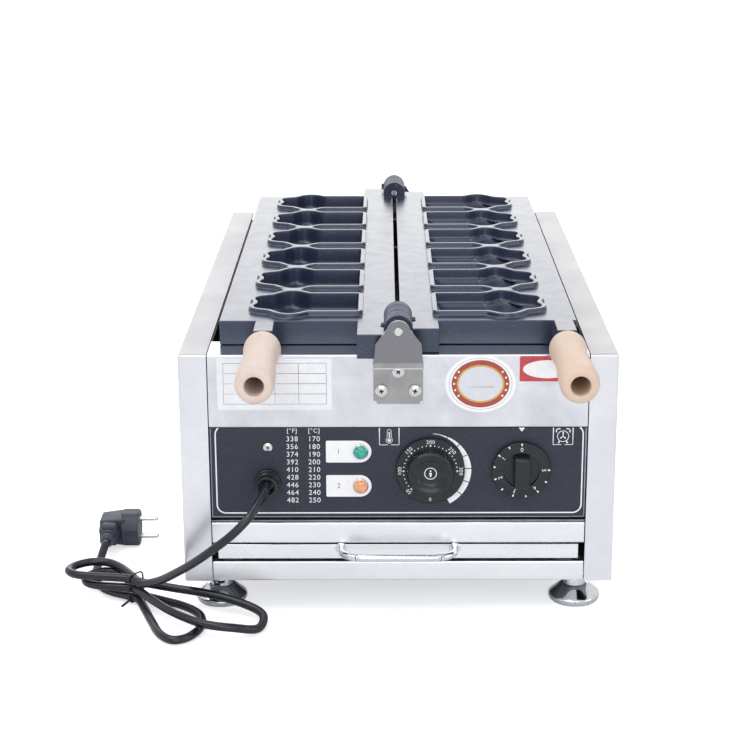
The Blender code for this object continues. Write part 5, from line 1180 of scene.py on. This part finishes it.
dress(eased_copy("crumb_tray", "crumb_tray_sheet", 0.0003, 1), stainless_x, "crumb_drawer",
      ["crumb_tray"])
half_bow = [(BOW_X, FRONT_Y - straight, SEAT_Z) for straight in (0.0003, 0.0034)]
for step in range(9):
    turn = math.pi / 2 * step / 8
    rest = 1 - math.sin(turn)       # share of the way out that is still to go
    half_bow.append((BOW_X - BEND * (1 - math.cos(turn)), BOW_Y + BEND * rest,
                     BAR_Z + (SEAT_Z - BAR_Z) * 0.32 * rest))
bow_points = smooth_points(half_bow + [(-x, y, z) for x, y, z in reversed(half_bow)], 3)
bow = [wire_mesh("bow_rod", bow_points, BOW_R, False, 6)]
bow += [turned("bow_washer", [(0.0054, 0), (0.0054, 0.0009), (0.0050, 0.0013), (0.0037, 0.0014)],
               (x, FRONT_Y, SEAT_Z), (0, -1, 0), 32) for x in (-BOW_X, BOW_X)]
dress(join_all(bow, "bow_handle"), chrome, "crumb_drawer", ["tray_bow_handle"], 40)
print("tray made")

# %% [markdown]
# ## Control panel
# The panel is a steel sheet with dark textured paint. Everything on it is screen printed: a thin
# white frame, a table of temperatures in two units, two rounded plates for the lamps, and the scales
# round the knobs. Each printed shape is modelled flat and extruded by a hair, as a layer of ink.

# %% Ink helpers
def around(x, z, radius, angle):
    """The point at a distance from a middle; the angle in degrees, clockwise from the top."""
    return x + radius * math.sin(math.radians(angle)), z + radius * math.cos(math.radians(angle))


def arc_path(x, z, radius, start, end, steps):
    """Points along an arc, from one angle to another."""
    return [around(x, z, radius, start + (end - start) * i / steps) for i in range(steps + 1)]


def oval(x, z, half_width, half_height, steps=72):
    """Points round an oval."""
    return [(x + half_width * math.sin(math.tau * i / steps),
             z + half_height * math.cos(math.tau * i / steps)) for i in range(steps)]


def patch(*corners):
    """One flat shape from (x, z) corners."""
    return list(corners), [tuple(range(len(corners)))]


def disc(x, z, radius, steps=20):
    """A flat round dot."""
    return patch(*oval(x, z, radius, radius, steps))


def ribbon(path, width, closed=False):
    """A line of even width along a path."""
    count = len(path)
    points, faces = [], []
    for i, (x, z) in enumerate(path):
        before = path[i - 1] if i or closed else path[i]
        after = path[(i + 1) % count] if i < count - 1 or closed else path[i]
        first, last = Vector((x - before[0], z - before[1])), Vector((after[0] - x, after[1] - z))
        along = (first.normalized() + last.normalized()).normalized()
        side = Vector((-along.y, along.x))
        lean = max(0.5, abs(side.dot(Vector((-(last or first).y, (last or first).x)).normalized())))
        for sign in (1, -1):
            points.append((x + sign * side.x * width / 2 / lean,
                           z + sign * side.y * width / 2 / lean))
    for i in range(count if closed else count - 1):
        a, b = 2 * i, 2 * ((i + 1) % count)
        faces.append((a, b, b + 1, a + 1))
    return points, faces


def tick(x, z, angle, inner, outer, width):
    """A short mark on a dial, along its radius."""
    return ribbon([around(x, z, inner, angle), around(x, z, outer, angle)], width)


def ink(name, shapes, face_y, thick=0.00008):
    """Printed shapes on a face that looks to the front."""
    points, faces = [], []
    for corners, parts in shapes:
        faces += [[len(points) + i for i in part] for part in parts]
        points += [(x, face_y, z) for x, z in corners]
    return extruded(name, points, faces, (0, -thick, 0))


def figures(name, items, face_y, thick=0.00008):
    """Numbers in a plain typeface: (text, x, z, size, clockwise turn in degrees)."""
    signs = []
    for text, x, z, size, turn in items:
        bpy.ops.object.text_add()
        sign = bpy.context.object
        sign.data.body, sign.data.size = text, size
        sign.data.align_x, sign.data.align_y = "CENTER", "CENTER"
        sign.data.extrude, sign.data.resolution_u = thick / 2, 3
        sign.data.offset, sign.data.space_character = -size * 0.002, 1.10
        bpy.ops.object.convert(target="MESH")
        sign.data.transform(Matrix.Translation((x, face_y - thick / 2, z))
                            @ Matrix.Rotation(math.radians(turn), 4, "Y")
                            @ Matrix.Rotation(math.pi / 2, 4, "X"))
        signs.append(sign)
    return join_all(signs, name)


print("ink helpers ready")

# %% Panel sheet, its frame and its symbols
PANEL_TOP_Z, BOX_LOW_Z = 0.1840, 0.1676
FRAME_X, FRAME_Z, FRAME_R = (-0.1598, 0.1615), (0.109, 0.1779), 0.008   # corners' middles
GAUGE_X, BULB_Z, TUBE_Z = -0.0082, 0.1721, 0.1808
CLOCK_X, CLOCK_Z = 0.1511, 0.1756

dress(eased_copy("control_panel", "control_panel_sheet", 0.0003), panel_paint, "casing",
      ["control_panel"])
frame_path = []
for x, z, start, end, steps in ((FRAME_X[0], FRAME_Z[1], 320, 270, 5),
                                (FRAME_X[0], FRAME_Z[0], 270, 180, 8),
                                (FRAME_X[1], FRAME_Z[0], 180, 90, 8),
                                (FRAME_X[1], FRAME_Z[1], 90, 40, 5)):
    frame_path += arc_path(x, z, FRAME_R, start, end, steps)
shapes = [ribbon(frame_path, 0.0012)]
for x in (GAUGE_X, CLOCK_X):            # open boxes for the two symbols
    for sign in (-1, 1):
        outer = x + sign * 0.009
        shapes.append(ribbon([(x + sign * 0.0015, BOX_LOW_Z), (outer, BOX_LOW_Z),
                              (outer, PANEL_TOP_Z)], 0.0005))
thermometer = arc_path(GAUGE_X, BULB_Z, 0.0029, 40, 320, 14)
thermometer += arc_path(GAUGE_X, TUBE_Z, 0.0018, 270, 450, 6)
shapes += [ribbon(thermometer, 0.0004, True), disc(GAUGE_X, BULB_Z, 0.0017),
           ribbon([(GAUGE_X, BULB_Z), (GAUGE_X, 0.1802)], 0.0006)]
for i in range(4):
    z = 0.1758 + 0.0014 * i
    shapes.append(ribbon([(GAUGE_X, z), (GAUGE_X + 0.0011, z)], 0.0003))
shapes.append(ribbon(arc_path(CLOCK_X, CLOCK_Z, 0.0052, 0, 345, 23), 0.0006, True))
shapes += [tick(CLOCK_X, CLOCK_Z, angle, 0.0, length, 0.0006)
           for angle, length in ((0, 0.0042), (128, 0.0032), (232, 0.0032))]
for sign in (-1, 1):                    # the clock's bells and feet
    shapes += [ribbon(arc_path(CLOCK_X + sign * 0.0041, CLOCK_Z + 0.0052, 0.0022,
                               sign * 45 - 80, sign * 45 + 80, 8), 0.0009),
               tick(CLOCK_X, CLOCK_Z, sign * 147, 0.0056, 0.0078, 0.0008)]
shapes.append(patch((0.1103, PANEL_TOP_Z), (0.1161, PANEL_TOP_Z), (0.1132, 0.1802)))


# %% Band round the dial, and the table of temperatures
BAND_INNER, BAND_OUTER = (10, 84, 0.0349, 0.0317), (20, 86, 0.0354, 0.0378)   # as in ramp


def ramp(angle, start, end, first, last):
    """A radius that changes evenly between two angles."""
    return first + (last - first) * min(1, max(0, angle - start) / (end - start))


def wedge(x, z, start, end):
    """One step of the widening band round the dial."""
    angles = [start + (end - start) * i / 4 for i in range(5)]
    inner = [around(x, z, ramp(angle, *BAND_INNER), angle) for angle in angles]
    outer = [around(x, z, ramp(angle, *BAND_OUTER), angle) for angle in reversed(angles)]
    return inner + outer, [(i, i + 1, 8 - i, 9 - i) for i in range(4)]


DIAL_X, DIAL_Z, TIMER_X, TIMER_Z = 0.0296, 0.14325, 0.1133, 0.1440
BAND_STEPS, BAND_GAP = (3, 26, 47, 67, 88, 109, 130, 152), 0.7          # degrees
FAHRENHEIT_X, CELSIUS_X, UNITS_Z, FIRST_ROW_Z, ROW_PITCH = -0.0974, -0.0772, 0.1813, 0.1733, 0.00748

shapes += [wedge(DIAL_X, DIAL_Z, a + BAND_GAP, b - BAND_GAP)
           for a, b in zip(BAND_STEPS, BAND_STEPS[1:])]
items = [("[°F]", FAHRENHEIT_X, UNITS_Z, 0.0058, 0), ("[°C]", CELSIUS_X, UNITS_Z, 0.0058, 0)]
for i in range(9):
    celsius, z = 170 + 10 * i, FIRST_ROW_Z - ROW_PITCH * i
    items += [(str(round(celsius * 1.8 + 32)), FAHRENHEIT_X, z, 0.0070, 0),
              (str(celsius), CELSIUS_X, z, 0.0070, 0)]
dress(join_all([ink("panel_lines", shapes, PANEL_Y), figures("temperature_table", items, PANEL_Y)],
               "panel_printing"), white_ink, "casing")

# %% Pale line painted along the panel's fold as a highlight
FOLD_X, FOLD_Z = 0.1722, (0.0972, 0.1838)
edge = ribbon([(-FOLD_X, FOLD_Z[1]), (-FOLD_X, FOLD_Z[0]), (FOLD_X, FOLD_Z[0]),
               (FOLD_X, FOLD_Z[1])], 0.0006)
dress(ink("panel_fold_highlight", [edge], PANEL_Y, 0.00004), fold_highlight_paint, "casing")

# %% Rounded plates of the two lamps
LAMP_X, LAMPS = -0.0345, {"green": 0.1611, "orange": 0.1276}
PLATE_HALF, PLATE_LEFT, PLATE_FILM, PLATE_R = 0.0106, -0.0664, 0.00014, 0.0012

plates, numbers = [], []
for number, z in enumerate(LAMPS.values(), 1):
    corner_x, corner_z = PLATE_LEFT + PLATE_R, PLATE_HALF - PLATE_R
    edge = arc_path(corner_x, z + corner_z, PLATE_R, -90, 0, 3)
    edge += arc_path(-0.0352, z, PLATE_HALF, 0, 180, 18)
    edge += arc_path(corner_x, z - corner_z, PLATE_R, 180, 270, 3)
    plates.append(ink("lamp_plate", [patch(*edge)], PANEL_Y, PLATE_FILM))
    numbers.append((str(number), -0.0548, z, 0.0070, 0))
dress(join_all(plates, "lamp_plates"), white_film, "casing", (), 20)
dress(figures("lamp_numbers", numbers, PANEL_Y - PLATE_FILM), grey_ink, "casing")
print("panel printed")

# %% [markdown]
# ### Lamps and knobs
# The lenses are faceted domes in chromed bezels. The temperature knob is a dished cap on a thin
# skirt that carries the numbers, and the timer knob is a grip bar on a sloping ring.

# %% Lamps
SEAT_Y = PANEL_Y - 0.0010
for (colour, z), glass in zip(LAMPS.items(), (green_lens, orange_lens)):
    seat = (LAMP_X, PANEL_Y - 0.0003, z)
    bezel = turned(f"{colour}_bezel_disc", [(0.0068, 0), (0.00725, 0.0003), (0.00725, 0.0010),
                   (0.0069, 0.0015), (0.0064, 0.0018), (0.0061, 0.0018)], seat, (0, -1, 0))
    cut_with(bezel, turned("bezel_bore", [(0.0058, -0.002), (0.0058, 0.004)], seat, (0, -1, 0)))
    dress(bezel, chrome, "casing", [f"{colour}_lamp_bezel"])
    dome = turned(f"{colour}_lens_dome", [(0.0050, 0), (0.0055, 0.0005), (0.0055, 0.0302),
                  (0.0066, 0.0302), (0.0067, 0.0310), (0.0060, 0.0323), (0.0047, 0.0333),
                  (0.0031, 0.0340), (0.0014, 0.0343), (0.0004, 0.0343)],
                  (LAMP_X, PANEL_Y + 0.028, z), (0, -1, 0), 16)
    dress(dome, glass, "casing", [f"{colour}_lamp_lens"], 12)

# %% Temperature knob
knob = turned("temperature_knob_body", [(0.0312, 0), (0.0318, 0.0005), (0.0318, 0.0024),
              (0.0313, 0.0030), (0.0226, 0.0030), (0.0221, 0.0034), (0.0218, 0.0080),
              (0.0214, 0.0110), (0.0205, 0.0127), (0.0190, 0.0135), (0.0174, 0.0133),
              (0.0152, 0.0124), (0.0134, 0.0116), (0.0126, 0.0107), (0.0112, 0.0100),
              (0.0090, 0.0096), (0.0068, 0.0095)], (DIAL_X, SEAT_Y, DIAL_Z), (0, -1, 0), 96)
dress(knob, black_plastic, "temperature_dial", ["temperature_knob"], 50)
SKIRT_Y, CAP_Y = SEAT_Y - 0.0030, SEAT_Y - 0.0095
DOTS_R, VALUES_R, ZERO_R, VALUE_SIZE = 0.0247, 0.0280, 0.0274, 0.0050
dots = [disc(*around(DIAL_X, DIAL_Z, DOTS_R, angle), 0.0006 if angle % 45 else 0.0009, 10)
        for angle in range(-135, 91, 9)]
values = [(str(200 + round(angle / 0.9)), *around(DIAL_X, DIAL_Z, VALUES_R, angle), VALUE_SIZE,
           angle) for angle in range(-135, 91, 45)]
values.append(("0", *around(DIAL_X, DIAL_Z, ZERO_R, 180), VALUE_SIZE, 180))
ring = [ribbon(arc_path(DIAL_X, DIAL_Z, 0.0054, 0, 350, 35), 0.0007, True),
        tick(DIAL_X, DIAL_Z, 0, -0.0032, 0.0008, 0.0012), disc(DIAL_X, DIAL_Z + 0.0024, 0.0008, 12)]
dress(join_all([ink("dial_dots", dots, SKIRT_Y), figures("dial_values", values, SKIRT_Y),
                ink("cap_ring", ring, CAP_Y)], "temperature_marks"), white_ink,
      "temperature_dial")

# %% Timer knob
TIMER_PITCH, GRIP_X, GRIP_Z, GRIP_OUT, GROOVES = 54.3, 0.0073, 0.0150, 0.0155, 8
TICK_IN, LONG_TICK, SHORT_TICK, DIGITS_R, DIGIT_SIZE = 0.0240, 0.0262, 0.0260, 0.0204, 0.0054

skirt = turned("timer_skirt", [(0.0264, 0), (0.0270, 0.0006), (0.0270, 0.0036), (0.0264, 0.0042),
               (0.0174, 0.0050), (0.0166, 0.0048), (0.0162, 0.0026), (0.0100, 0.0024)],
               (TIMER_X, SEAT_Y, TIMER_Z), (0, -1, 0), 96)
grip = block("timer_grip", (TIMER_X - GRIP_X, SEAT_Y - GRIP_OUT, TIMER_Z - GRIP_Z),
             (TIMER_X + GRIP_X, SEAT_Y - 0.0012, TIMER_Z + GRIP_Z))
soften(grip, 0.0028, 4)
for side in (-1, 1):                    # fine grooves along the flanks of the bar
    for i in range(GROOVES):
        x, z = TIMER_X + side * GRIP_X, TIMER_Z - 0.0112 + 0.0032 * i
        cut_with(grip, block("flank_groove", (x - 0.0005, SEAT_Y - 0.0143, z - 0.0006),
                             (x + 0.0005, SEAT_Y - 0.0070, z + 0.0006)))
dress(join_all([skirt, grip], "timer_knob_body"), black_plastic, "timer_dial",
      ["timer_knob"], 50)
marks = [tick(TIMER_X, TIMER_Z, -TIMER_PITCH * i, TICK_IN, LONG_TICK, 0.0008) for i in range(6)]
marks += [tick(TIMER_X, TIMER_Z, -TIMER_PITCH * (i + 0.5), TICK_IN, SHORT_TICK, 0.0008)
          for i in range(5)]
values = [(str(i), *around(TIMER_X, TIMER_Z, DIGITS_R, -TIMER_PITCH * i), DIGIT_SIZE,
           -TIMER_PITCH * i) for i in range(6)]
dress(join_all([ink("timer_ticks", marks, SEAT_Y - 0.0042, 0.0008),
                figures("timer_values", values, SEAT_Y - 0.0045, 0.0006)], "timer_marks"),
      white_ink, "timer_dial")
print("lamps and knobs made")

# %% [markdown]
# ## Labels
# Three stickers sit under the edge of the fascia: a ruled frame, an oval seal and a red tab. Their
# fields are left empty. They are thin films, so each is one flat shape with its inks on top.

# %% Stickers on the fascia
FILM, INK = 0.00012, 0.00004
LAYERS = {"film": (FRONT_Y, FILM), "ink": (FRONT_Y - FILM, INK), "top": (FRONT_Y - FILM - INK, INK)}
RULE_X, RULE_Z = (-0.1590, -0.0652), (0.2073, 0.2461)
SEAL = (0.0748, 0.2263)


def rectangle(left, right, low, high, radius):
    """An upright rectangle with rounded corners."""
    points = []
    for x, z, start in ((right - radius, high - radius, 0), (right - radius, low + radius, 90),
                        (left + radius, low + radius, 180), (left + radius, high - radius, 270)):
        points += arc_path(x, z, radius, start, start + 90, 4)
    return patch(*points)


def band(outer, inner, steps=72):
    """A flat oval ring of the seal, from its outer and inner half sizes."""
    return oval(*SEAL, *outer, steps) + oval(*SEAL, *inner, steps), [
        (i, (i + 1) % steps, steps + (i + 1) % steps, steps + i) for i in range(steps)]


(left, right), (low, high) = RULE_X, RULE_Z
ruling = [ribbon([(left, low), (right, low), (right, high), (left, high)], 0.0004, True)]
for z in (low + (high - low) * i / 4 for i in (1, 2, 3)):
    ruling.append(ribbon([(left, z), (right, z)], 0.0003))
for x in (left + (right - left) * share for share in (0.27, 0.50, 0.73)):
    ruling.append(ribbon([(x, low), (x, high)], 0.0003))
dots = []
for angle in (*range(56, 125, 17), *range(236, 305, 17)):
    turn = math.radians(angle)
    dots.append(disc(SEAL[0] + 0.0240 * math.sin(turn), SEAL[1] + 0.0202 * math.cos(turn),
                     0.0010, 10))
middle_line = [(SEAL[0] + reach, SEAL[1] - 0.0030) for reach in (-0.0125, 0.0125)]

for name, layer, material, shapes in (
        ("ruled_label", "film", label_film, [rectangle(-0.1647, -0.0605, 0.2018, 0.2503, 0.0012)]),
        ("label_ruling", "ink", grey_ink, ruling),
        ("oval_label", "film", white_film, [patch(*oval(*SEAL, 0.0322, 0.0272))]),
        ("seal_band", "ink", brick_ink, [band((0.0263, 0.0225), (0.0217, 0.0180))]),
        ("seal_ring", "ink", gold_ink, [band((0.0217, 0.0180), (0.0199, 0.0163))]),
        ("seal_dots", "top", white_film, dots),
        ("seal_field", "ink", field_film, [patch(*oval(*SEAL, 0.0199, 0.0163))]),
        ("seal_line", "ink", grey_ink, [ribbon(oval(*SEAL, 0.0285, 0.0243), 0.0003, True)]),
        ("seal_middle_line", "top", grey_ink, [ribbon(middle_line, 0.0003)]),
        ("red_label", "film", red_ink, [rectangle(0.1100, 0.1722, 0.2285, 0.2524, 0.0018)]),
        ("red_label_oval", "ink", white_film, [patch(*oval(0.1355, 0.2400, 0.0225, 0.0085, 48))])):
    dress(ink(name, shapes, *LAYERS[layer]), material, "casing")
print("stickers placed")

# %% [markdown]
# ## Inside the casing
# The tubular elements, the control bodies and the terminal block keep the CAD model's forms, with
# their edges rounded.

# %% Heaters and control bodies
for name in [f"{side}_{place}_element" for side in ("left", "right")
             for place in ("inner", "outer")]:
    dress(eased_copy(name, name + "_tube", 0.0002, 1, 50), element_sheath, "casing",
          [name], 50)
for name, width, material, slot in (
        ("thermostat_body", 0.0008, black_plastic, "black_plastic"),
        ("timer_body", 0.0008, black_plastic, "black_plastic"),
        ("terminal_block", 0.0006, ceramic, "ceramic")):
    dress(eased_copy(name, name + "_case", width), material, "casing", [name])
print("inside dressed")

# %% [markdown]
# ## Finish
# The CAD nodes that stay in view get their materials here, and the view layer is updated at the end.

# %% Materials of the CAD nodes that stay
STAYS = {
    galvanised: ("floor_pan", "bay_shield", "left_tray_runner", "right_tray_runner",
                 "front_element_support", "rear_element_support"),
    # the heat tray takes the dark material as painted shade in the gap under the plates
    gap_shade_paint: ("heat_tray",),
}
for material, names in STAYS.items():
    for name in names:
        nodes[name].data.materials.clear()
        nodes[name].data.materials.append(material)

# %% Last update of the view layer
bpy.context.view_layer.update()
